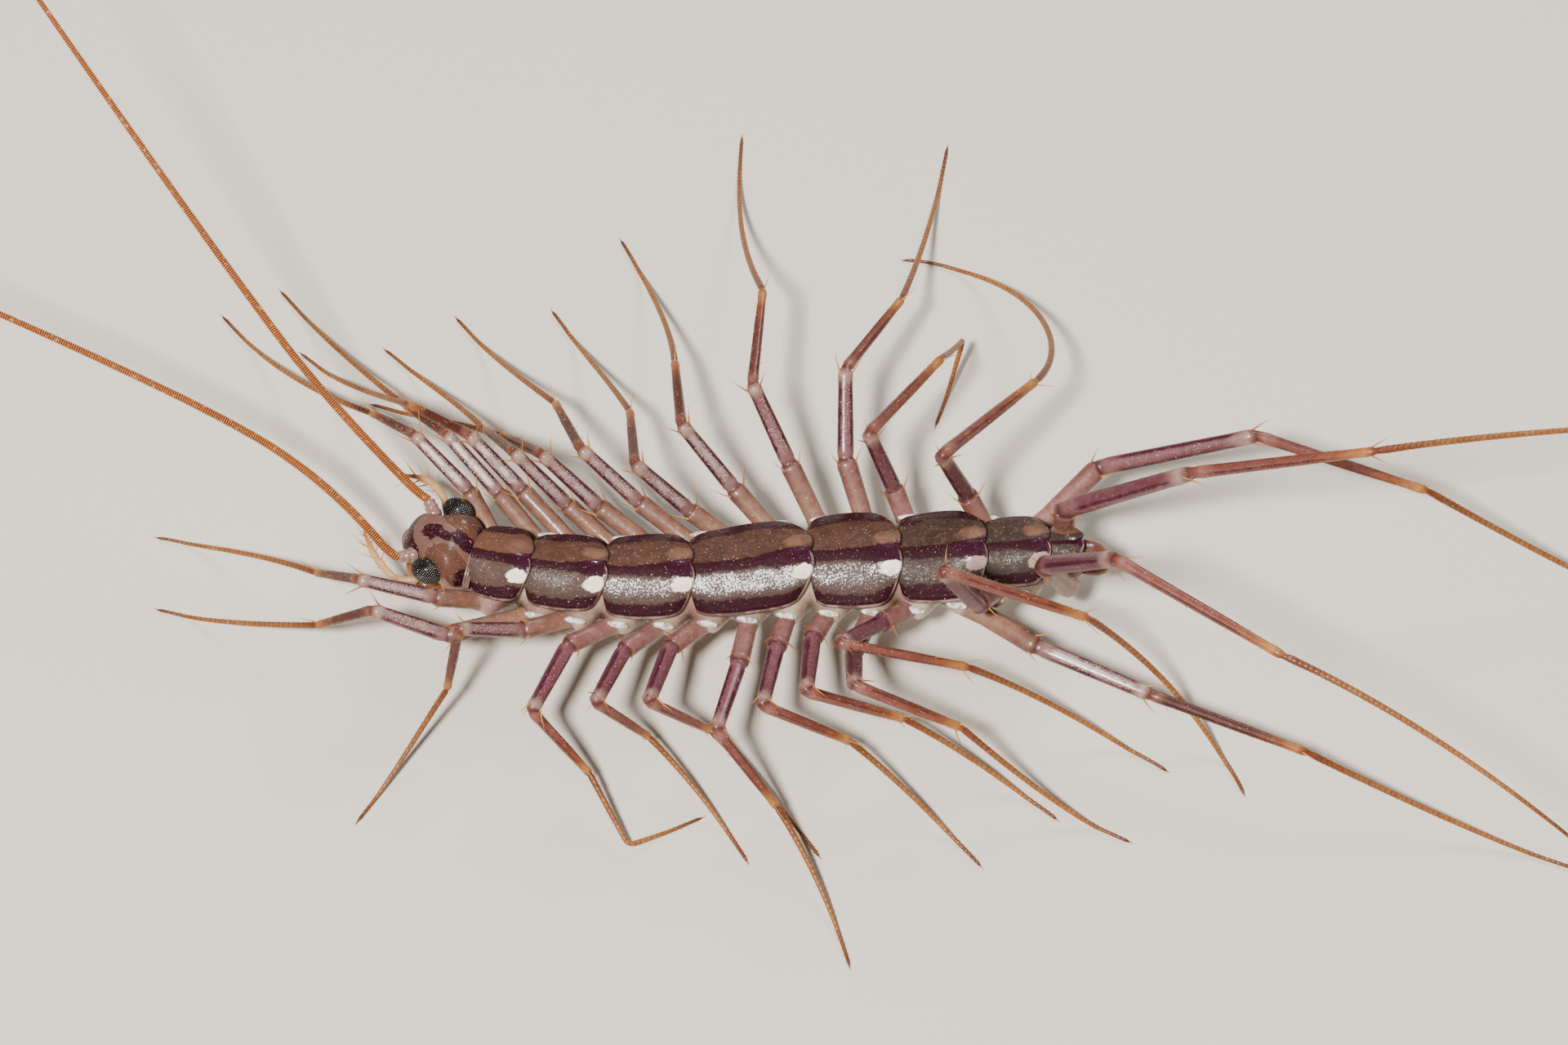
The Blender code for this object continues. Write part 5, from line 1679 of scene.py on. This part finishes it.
def shape_leg(key):
    """Everything about a leg's form: rings, frames, girths and grooves."""
    line, coordinates = leg_line(key)
    foot = line[coordinates >= 3.0]
    foot_length = float(np.linalg.norm(np.diff(foot, axis=0), axis=1).sum())
    places = ring_places(foot_length)
    course = np.stack([np.interp(places[:, 0], coordinates, line[:, axis]) for axis in range(3)], axis=1)
    radii = np.interp(places[:, 0], LEG_GIRTHS[:, 0], LEG_GIRTHS[:, 1]) * places[:, 1] * slenderness(key[1])
    tangents, normals, binormals = frames_along(course, up=LEG_UP)
    return {
        "key": key, "a": places[:, 0], "line": course, "radii": radii, "groove": places[:, 2],
        "tangents": tangents, "normals": normals, "binormals": binormals,
    }


LEGS = [shape_leg(key) for key in LEG_POSES]
print("rings in the first leg:", len(LEGS[0]["a"]))

# %% [markdown]
# A leg's colour follows its own map, "Limb": along the leg from hip to tip and round it. On the far
# side the first part is pale flesh, the second lilac grey with a frost of grains, the third dark
# maroon, and the foot goes from red-brown over golden orange to a dark tip. The two rows of colours
# are lit and less lit copies of the same legs: the far row is painted paler and frostier as lit, the
# near row deeper and more purple; a value, "near", blends the two. On top of the far second parts the
# grains lie thicker and a pale streak runs along: painted sheen and a painted highlight. The near
# second parts get painted shade on their sides. Dark lines run along the ridges, and the joints show
# pale rims.

# %% Legs: colours
# Two copies of one leg colouring: the far row painted as lit, paler and greyer; the near row as less lit, deeper and
# more purple.
FAR_LEG_COLOURS = (
    (0.0, (0.275, 0.154, 0.104)), (0.045, (0.237, 0.128, 0.086)), (0.20, (0.176, 0.088, 0.062)),
    (0.240, (0.162, 0.084, 0.064)), (0.250, (0.08, 0.026, 0.022)), (0.262, (0.204, 0.113, 0.106)),
    (0.30, (0.185, 0.088, 0.090)), (0.46, (0.166, 0.074, 0.073)), (0.485, (0.33, 0.240, 0.205)),
    (0.500, (0.10, 0.030, 0.016)), (0.512, (0.15, 0.062, 0.040)), (0.530, (0.056, 0.013, 0.009)),
    (0.66, (0.063, 0.015, 0.008)), (0.705, (0.16, 0.044, 0.015)), (0.735, (0.34, 0.130, 0.032)),
    (0.750, (0.13, 0.033, 0.011)), (0.80, (0.218, 0.083, 0.022)), (0.92, (0.281, 0.114, 0.027)),
    (1.0, (0.08, 0.018, 0.007)),
)
NEAR_LEG_COLOURS = (
    (0.0, (0.30, 0.185, 0.145)), (0.045, (0.27, 0.155, 0.125)), (0.12, (0.21, 0.098, 0.088)),
    (0.238, (0.18, 0.080, 0.074)), (0.250, (0.06, 0.014, 0.018)), (0.262, (0.166, 0.066, 0.074)),
    (0.29, (0.139, 0.047, 0.062)), (0.45, (0.113, 0.034, 0.046)), (0.485, (0.28, 0.170, 0.155)),
    (0.500, (0.08, 0.018, 0.015)), (0.512, (0.230, 0.098, 0.080)), (0.535, (0.165, 0.056, 0.046)),
    (0.65, (0.162, 0.048, 0.031)), (0.70, (0.20, 0.064, 0.025)), (0.735, (0.38, 0.160, 0.042)),
    (0.750, (0.14, 0.037, 0.014)), (0.80, (0.229, 0.090, 0.028)), (0.92, (0.302, 0.125, 0.031)),
    (1.0, (0.09, 0.020, 0.008)),
)


def span(tree, value, rise_from, rise_to, fall_from, fall_to):
    """A mask that is 1 on one stretch of a value and fades at both ends."""
    rising = step_between(tree, value, rise_from, rise_to)
    return sum_of(tree, "MULTIPLY", rising, step_between(tree, value, fall_from, fall_to, 1.0, 0.0))


def leg_look():
    look, tree, shader = new_look("Leg", coat=0.25, soft=0.08, specular=0.2)
    shader.inputs["Coat Roughness"].default_value = 0.14
    where = body_places(tree)
    u, v = surface_map(tree, "Limb")
    near = point_value(tree, "near")
    wander = sum_of(tree, "MULTIPLY", sum_of(tree, "SUBTRACT", noise(tree, where, 900.0, 3.0), 0.5), 0.015)
    along = sum_of(tree, "ADD", u, wander)
    far_row = colour_ramp(tree, along, FAR_LEG_COLOURS)
    near_row = colour_ramp(tree, along, NEAR_LEG_COLOURS)
    # Painted light: the lit far row and the less lit near row are blended by near.
    colour = blended(tree, near, far_row, near_row)
    round_it = sum_of(tree, "MULTIPLY", sum_of(tree, "SUBTRACT", v, RIDGE_TURN), 2 * math.pi * RIDGES)
    broken = sum_of(tree, "MULTIPLY", sum_of(tree, "SUBTRACT", noise(tree, where, 1700.0, 5.0), 0.5), 1.5)
    stripe = step_between(tree, sum_of(tree, "ADD", sum_of(tree, "COSINE", round_it), broken), 0.3, 1.1)
    on_second = span(tree, along, 0.27, 0.30, 0.455, 0.475)
    on_third = span(tree, along, 0.52, 0.54, 0.68, 0.71)
    on_first = span(tree, along, 0.16, 0.22, 0.235, 0.245)
    striped = sum_of(tree, "MAXIMUM", on_second, sum_of(tree, "MULTIPLY", on_third, 0.7))
    striped = sum_of(tree, "MAXIMUM", striped, sum_of(tree, "MULTIPLY", on_first, 0.3))
    colour = blended(tree, sum_of(tree, "MULTIPLY", stripe, striped), colour, (0.036, 0.003, 0.014))
    # Painted shade: the near legs' second parts are darkened on their sides, away from the top.
    upper = step_between(tree, sum_of(tree, "COSINE", sum_of(tree, "MULTIPLY", v, 2 * math.pi)), 0.66, 0.85)
    flank = sum_of(tree, "MULTIPLY", sum_of(tree, "MULTIPLY", on_second, near), step_between(tree, upper, 0.0, 1.0, 0.55, 0.0))
    colour = blended(tree, flank, colour, (0.060, 0.009, 0.028))
    mottle = step_between(tree, noise(tree, where, 2600.0, 5.0), 0.42, 0.6, 0.0, 0.8)
    colour = blended(tree, mottle, colour, (0.82, 0.70, 0.68), "MULTIPLY")
    # Grains lie thicker on the far legs and on top of the second parts: painted sheen of the light, over a little real
    # frost.
    dust_and_sheen = sum_of(tree, "MULTIPLY", on_second, sum_of(tree, "SUBTRACT", 0.6, sum_of(tree, "MULTIPLY", near, 0.35)))
    dust_and_sheen = sum_of(tree, "MULTIPLY", dust_and_sheen, sum_of(tree, "ADD", 0.2, sum_of(tree, "MULTIPLY", upper, 0.9)))
    dust_and_sheen = sum_of(tree, "ADD", dust_and_sheen, sum_of(tree, "MULTIPLY", on_third, 0.12))
    colour, rough, grain_height = with_grains_and_glints(tree, colour, dust_and_sheen, (0.42, 0.35, 0.35), 18000.0)
    # Painted highlight: a pale streak along the top of the far legs' second parts.
    highlight_streak = step_between(tree, sum_of(tree, "COSINE", sum_of(tree, "MULTIPLY", v, 2 * math.pi)), 0.9, 0.99)
    highlight_streak = sum_of(tree, "MULTIPLY", highlight_streak, step_between(tree, noise(tree, where, 1500.0, 4.0), 0.4, 0.52, 0.3, 1.0))
    highlight_streak = sum_of(tree, "MULTIPLY", highlight_streak, step_between(tree, near, -0.5, 0.3, 0.8, 0.0))
    colour = blended(tree, sum_of(tree, "MULTIPLY", highlight_streak, on_second), colour, (0.60, 0.53, 0.50))
    groove = point_value(tree, "groove")
    colour = blended(tree, sum_of(tree, "MULTIPLY", groove, 0.6), colour, (0.055, 0.012, 0.005))
    feed(tree, shader.inputs["Base Color"], with_dust_and_glints(tree, colour))
    feed(tree, shader.inputs["Roughness"], sum_of(tree, "ADD", rough, sum_of(tree, "MULTIPLY", groove, 0.15)))
    relief = sum_of(tree, "ADD", sum_of(tree, "MULTIPLY", grain_height, 0.4), noise(tree, where, 4200.0, 4.0))
    add_bump(tree, shader, relief, 0.00002, 0.6)
    return look


LEG = leg_look()


def add_leg(form):
    side_name, number = form["key"]
    angles = 2 * np.pi * np.arange(LEG_SIDES) / LEG_SIDES
    ridged = np.clip(np.interp(form["a"], (0.5, 1.1, 1.9, 2.0, 2.1, 2.8, 2.95), (0.4, 1, 1, 0.3, 1, 1, 0)), 0, 1)
    wave = np.cos(RIDGES * (angles - 2 * np.pi * RIDGE_TURN))
    swell = 1.0 + RIDGE_HEIGHT * ridged[:, None] * wave[None, :]
    radii = form["radii"].copy()
    for ring in range(4):
        radii[ring] *= math.sin(math.pi / 2 * (ring + 0.3) / 3.5)
    points = tube_points(form["line"], radii, LEG_SIDES, swell, up=LEG_UP)
    faces, corners = tube_faces(len(radii), LEG_SIDES)
    places = [(max(form["a"][row], 0.0) / 4, column / LEG_SIDES) for row, column in corners]
    grooves = np.repeat(form["groove"], LEG_SIDES)
    name = "leg_{}_{:02d}".format(side_name, number)
    nodes = [name]
    if number in PARTED_LEGS[side_name]:
        nodes.append("tarsus_{}_{:02d}".format(side_name, number))
    # near also sets how much painted light and shade the leg's colours get.
    near = [LEG_SHADE_SHARES.get(form["key"], float(side_name == "left"))] * len(points)
    piece = new_piece(name + "_skin", points, faces, LEG, {"Limb": places}, {"groove": grooves, "near": near})
    return dress(piece, "leg", *nodes)


for form in LEGS:
    add_leg(form)

# %% [markdown]
# At the far end of each long part stand two or three sharp spurs, orange at the root and dark at the
# tip, leaning forwards. Fine teeth run along the ridges, like the edge of a saw, and golden hairs and
# short bristles cover the feet. All come from the one thorn tree, from seeded lists of spots.

# %% Spurs, teeth and hairs of the legs
#        joint: (turns round the leg in degrees, length, set back from the joint)
SPURS = {1.0: ((50, 310, 180), 1.2, 0.3), 2.0: ((50, 310, 175), 1.3, 0.3), 3.0: ((20, 180), 1.0, 0.2)}
SPUR_LEAN = 35.0
SPUR_JITTER = 9.0
SPUR_ROOT_SHARE = 0.036
TOOTH_SPACING = 0.2
TOOTH_LENGTH = 0.1
HAIRS_PER_LEG = 90
FOOT_HAIR = 0.13
TIP_CLAW = 0.3


def leg_spot(form, a, turn, lean, length, depth=0.8):
    """A thorn at leg coordinate a, turned round the leg, leaning out from its line."""
    place = np.array([np.interp(a, form["a"], form["line"][:, axis]) for axis in range(3)])
    ring = int(np.argmin(np.abs(form["a"] - a)))
    radius = float(np.interp(a, form["a"], form["radii"]))
    out = math.cos(turn) * form["normals"][ring] + math.sin(turn) * form["binormals"][ring]
    lay = unit(out * math.sin(lean) + form["tangents"][ring] * math.cos(lean))
    return place + out * radius * depth, lay, length


def part_length(form, part):
    inside = form["line"][(form["a"] >= part) & (form["a"] <= part + 1)]
    return float(np.linalg.norm(np.diff(inside, axis=0), axis=1).sum())


spurs, teeth, hairs, foot_hairs, claws = [], [], [], [], []
draw = random.Random(41)
for form in LEGS:
    for joint, (turns, length, setback) in SPURS.items():
        before = joint - setback / part_length(form, joint - 1.0)
        for turn in turns:
            angle = math.radians(turn + draw.uniform(-SPUR_JITTER, SPUR_JITTER))
            lean = math.radians(SPUR_LEAN + draw.uniform(-SPUR_JITTER, SPUR_JITTER))
            size = length * (draw.uniform(0.9, 1.08) if turn in turns[:2] else draw.uniform(0.45, 0.6))
            spurs.append(leg_spot(form, before, angle, lean, size))
    for part in (1.0, 2.0):
        count = int(part_length(form, part) / TOOTH_SPACING)
        for ridge in range(RIDGES):
            for step in range(1, count):
                a = part + 0.06 + 0.88 * (step + draw.uniform(-0.2, 0.2)) / count
                turn = 2 * math.pi * (ridge / RIDGES + RIDGE_TURN) + draw.uniform(-0.06, 0.06)
                teeth.append(leg_spot(form, a, turn, 0.6, TOOTH_LENGTH * draw.uniform(0.7, 1.3), 0.98))
    for index in range(HAIRS_PER_LEG):
        a = draw.uniform(0.2, 3.0)
        hairs.append(leg_spot(form, a, draw.uniform(0, 2 * math.pi), 0.8, draw.uniform(0.14, 0.3), 0.95))
    rings = np.flatnonzero(form["groove"] == 0.15)
    for ring in rings:
        for half in range(2):
            turn = math.pi * half + 2.4 * ring + draw.uniform(-0.3, 0.3)
            foot_hairs.append(leg_spot(form, form["a"][ring] + 0.002, turn, 0.65, FOOT_HAIR * draw.uniform(0.8, 1.3), 0.9))
    root, lay, length = leg_spot(form, 3.985, 0.0, 0.0, TIP_CLAW, 0.0)
    claws.append((root, unit(np.array((lay[0], lay[1], max(lay[2], 0.0)))), length))

foot_hairs = [spot for spot in foot_hairs if spot[0][2] + min(spot[1][2], 0.0) * spot[2] > 0.01]

SPUR = thorn_look("Spur", (0.54, 0.25, 0.055), (0.26, 0.08, 0.018))
dress(add_thorns("leg_spurs", spurs, SPUR, SPUR_ROOT_SHARE, 0.1, 8), "leg")
dress(add_thorns("leg_teeth", teeth, DARK_BRISTLE, 0.16, 0.1, 3), "leg")
dress(add_thorns("leg_hairs", hairs, GOLD_BRISTLE, 0.045, 0.2, 3), "leg")
dress(add_thorns("foot_hairs", foot_hairs, GOLD_BRISTLE, 0.07, 0.15, 3), "leg")
dress(add_thorns("foot_claws", claws, DARK_BRISTLE, 0.11, 0.0, 6), "claw")

# %% [markdown]
# Where a leg was shed only a short stump is left in the hip, with a dark healed end. Behind the last
# plate come a small tail piece, its two side lobes and a pair of short feelers of the genital part.

# %% Stumps and tail
SHED_LEGS = ((RIGHT, 12, 70.0), (LEFT, 14, -60.0))
STUMP_LENGTH = 0.95
TAIL_BITS = (
    ((0.0, 0.0, 4.35, 0.62), (0.5, 0.0, 4.3, 0.6), (1.0, 0.0, 4.15, 0.4), (1.3, 0.0, 4.0, 0.14)),
    ((0.1, 0.42, 3.9, 0.36), (0.7, 0.5, 3.75, 0.34), (1.25, 0.42, 3.6, 0.16)),
    ((0.1, -0.42, 3.9, 0.36), (0.7, -0.5, 3.75, 0.34), (1.25, -0.42, 3.6, 0.16)),
    ((0.9, 0.16, 3.4, 0.13), (1.25, 0.2, 3.35, 0.09), (1.5, 0.16, 3.4, 0.04)),
    ((0.9, -0.16, 3.4, 0.13), (1.25, -0.2, 3.35, 0.09), (1.5, -0.16, 3.4, 0.04)),
)


def add_stump(side, number, bearing):
    root, x = hip(side, number)
    way = direction(bearing, 15.0)
    line = [root + way * (STUMP_LENGTH * step / 24 - 0.4) for step in range(25)]
    share = np.linspace(0.0, 1.0, 25)
    radii = 0.42 - 0.05 * share + 0.03 * np.cos(2 * np.pi * share * 2)
    return add_tube("stump", line, rounded_ends(radii, 6), 20, TAIL)


def add_tail_bit(stations):
    line = [(*body_point(TRUNK_REAR + back, out, height), radius) for back, out, height, radius in stations]
    places, radii = smooth_line(line, 30)
    return add_tube("tail_bit", places, rounded_ends(radii, 5), 24, TAIL, flatten=0.85)


TAIL = tipped_look("Tail piece", (0.20, 0.085, 0.070), (0.045, 0.006, 0.010), (0.28, 0.10, 0.05), 0.45, 0.9)
stumps = [add_stump(*place) for place in SHED_LEGS]
dress(joined(stumps, "shed_leg_stumps"), "leg")
dress(joined([add_tail_bit(stations) for stations in TAIL_BITS], "tail_skin"), "trunk_shell", "tail")

# %% [markdown]
# The floor is a plain pale sheet, and the light is soft and even, as in a studio: one broad lamp near
# the camera that makes the grains on the plates sparkle, a second from behind, and a bright room.

# %% Floor, light and camera
def add_floor():
    look, tree, shader = new_look("Pale floor", roughness=0.7)
    feed(tree, shader.inputs["Base Color"], (0.62, 0.58, 0.52))
    mesh = bpy.data.meshes.new("floor")
    half = 2.0
    drop = -0.00002
    mesh.from_pydata([(-half, -half, drop), (half, -half, drop), (half, half, drop), (-half, half, drop)], [], [(0, 1, 2, 3)])
    mesh.materials.append(look)
    floor = bpy.data.objects.new("floor", mesh)
    bpy.context.scene.collection.objects.link(floor)


def aim(item, target):
    """Turn a lamp or camera at the origin of its own frame towards a target."""
    way = Vector(target) - item.location
    item.rotation_euler = way.to_track_quat("-Z", "Y").to_euler()


def add_lamp(name, place, target, size, power, colour=(1.0, 1.0, 1.0)):
    lamp = bpy.data.lights.new(name, "AREA")
    lamp.shape = "DISK"
    lamp.size = size
    lamp.energy = power
    lamp.color = colour
    item = bpy.data.objects.new(name, lamp)
    bpy.context.scene.collection.objects.link(item)
    item.location = Vector(place)
    aim(item, target)


FOCUS = Vector(to_metres((0.0, 1.82, 5.6)))
CAMERA_AWAY = 0.22
CAMERA_RISE = 65.0
LENS = 118.2
SENSOR = 36.0


def add_camera():
    data = bpy.data.cameras.new("camera")
    data.lens = LENS
    data.sensor_width = SENSOR
    data.clip_start = 0.01
    item = bpy.data.objects.new("camera", data)
    bpy.context.scene.collection.objects.link(item)
    item.location = FOCUS + Vector(direction(-90.0, CAMERA_RISE)) * CAMERA_AWAY
    aim(item, FOCUS)
    bpy.context.scene.camera = item


def add_room():
    world = bpy.data.worlds.new("Bright room")
    world.use_nodes = True
    shine = world.node_tree.nodes["Background"]
    shine.inputs["Color"].default_value = (1.0, 0.95, 0.88, 1.0)
    shine.inputs["Strength"].default_value = 0.18
    bpy.context.scene.world = world


add_floor()
add_room()
add_lamp("key", (-0.07, -0.13, 0.30), FOCUS, 0.045, 2.5, (1.0, 0.95, 0.88))
add_lamp("rear", (0.12, 0.22, 0.22), FOCUS, 0.12, 0.6, (1.0, 0.97, 0.93))
add_camera()
print("camera looks at", [round(1000 * value, 1) for value in FOCUS], "mm from", CAMERA_AWAY * 1000, "mm away")
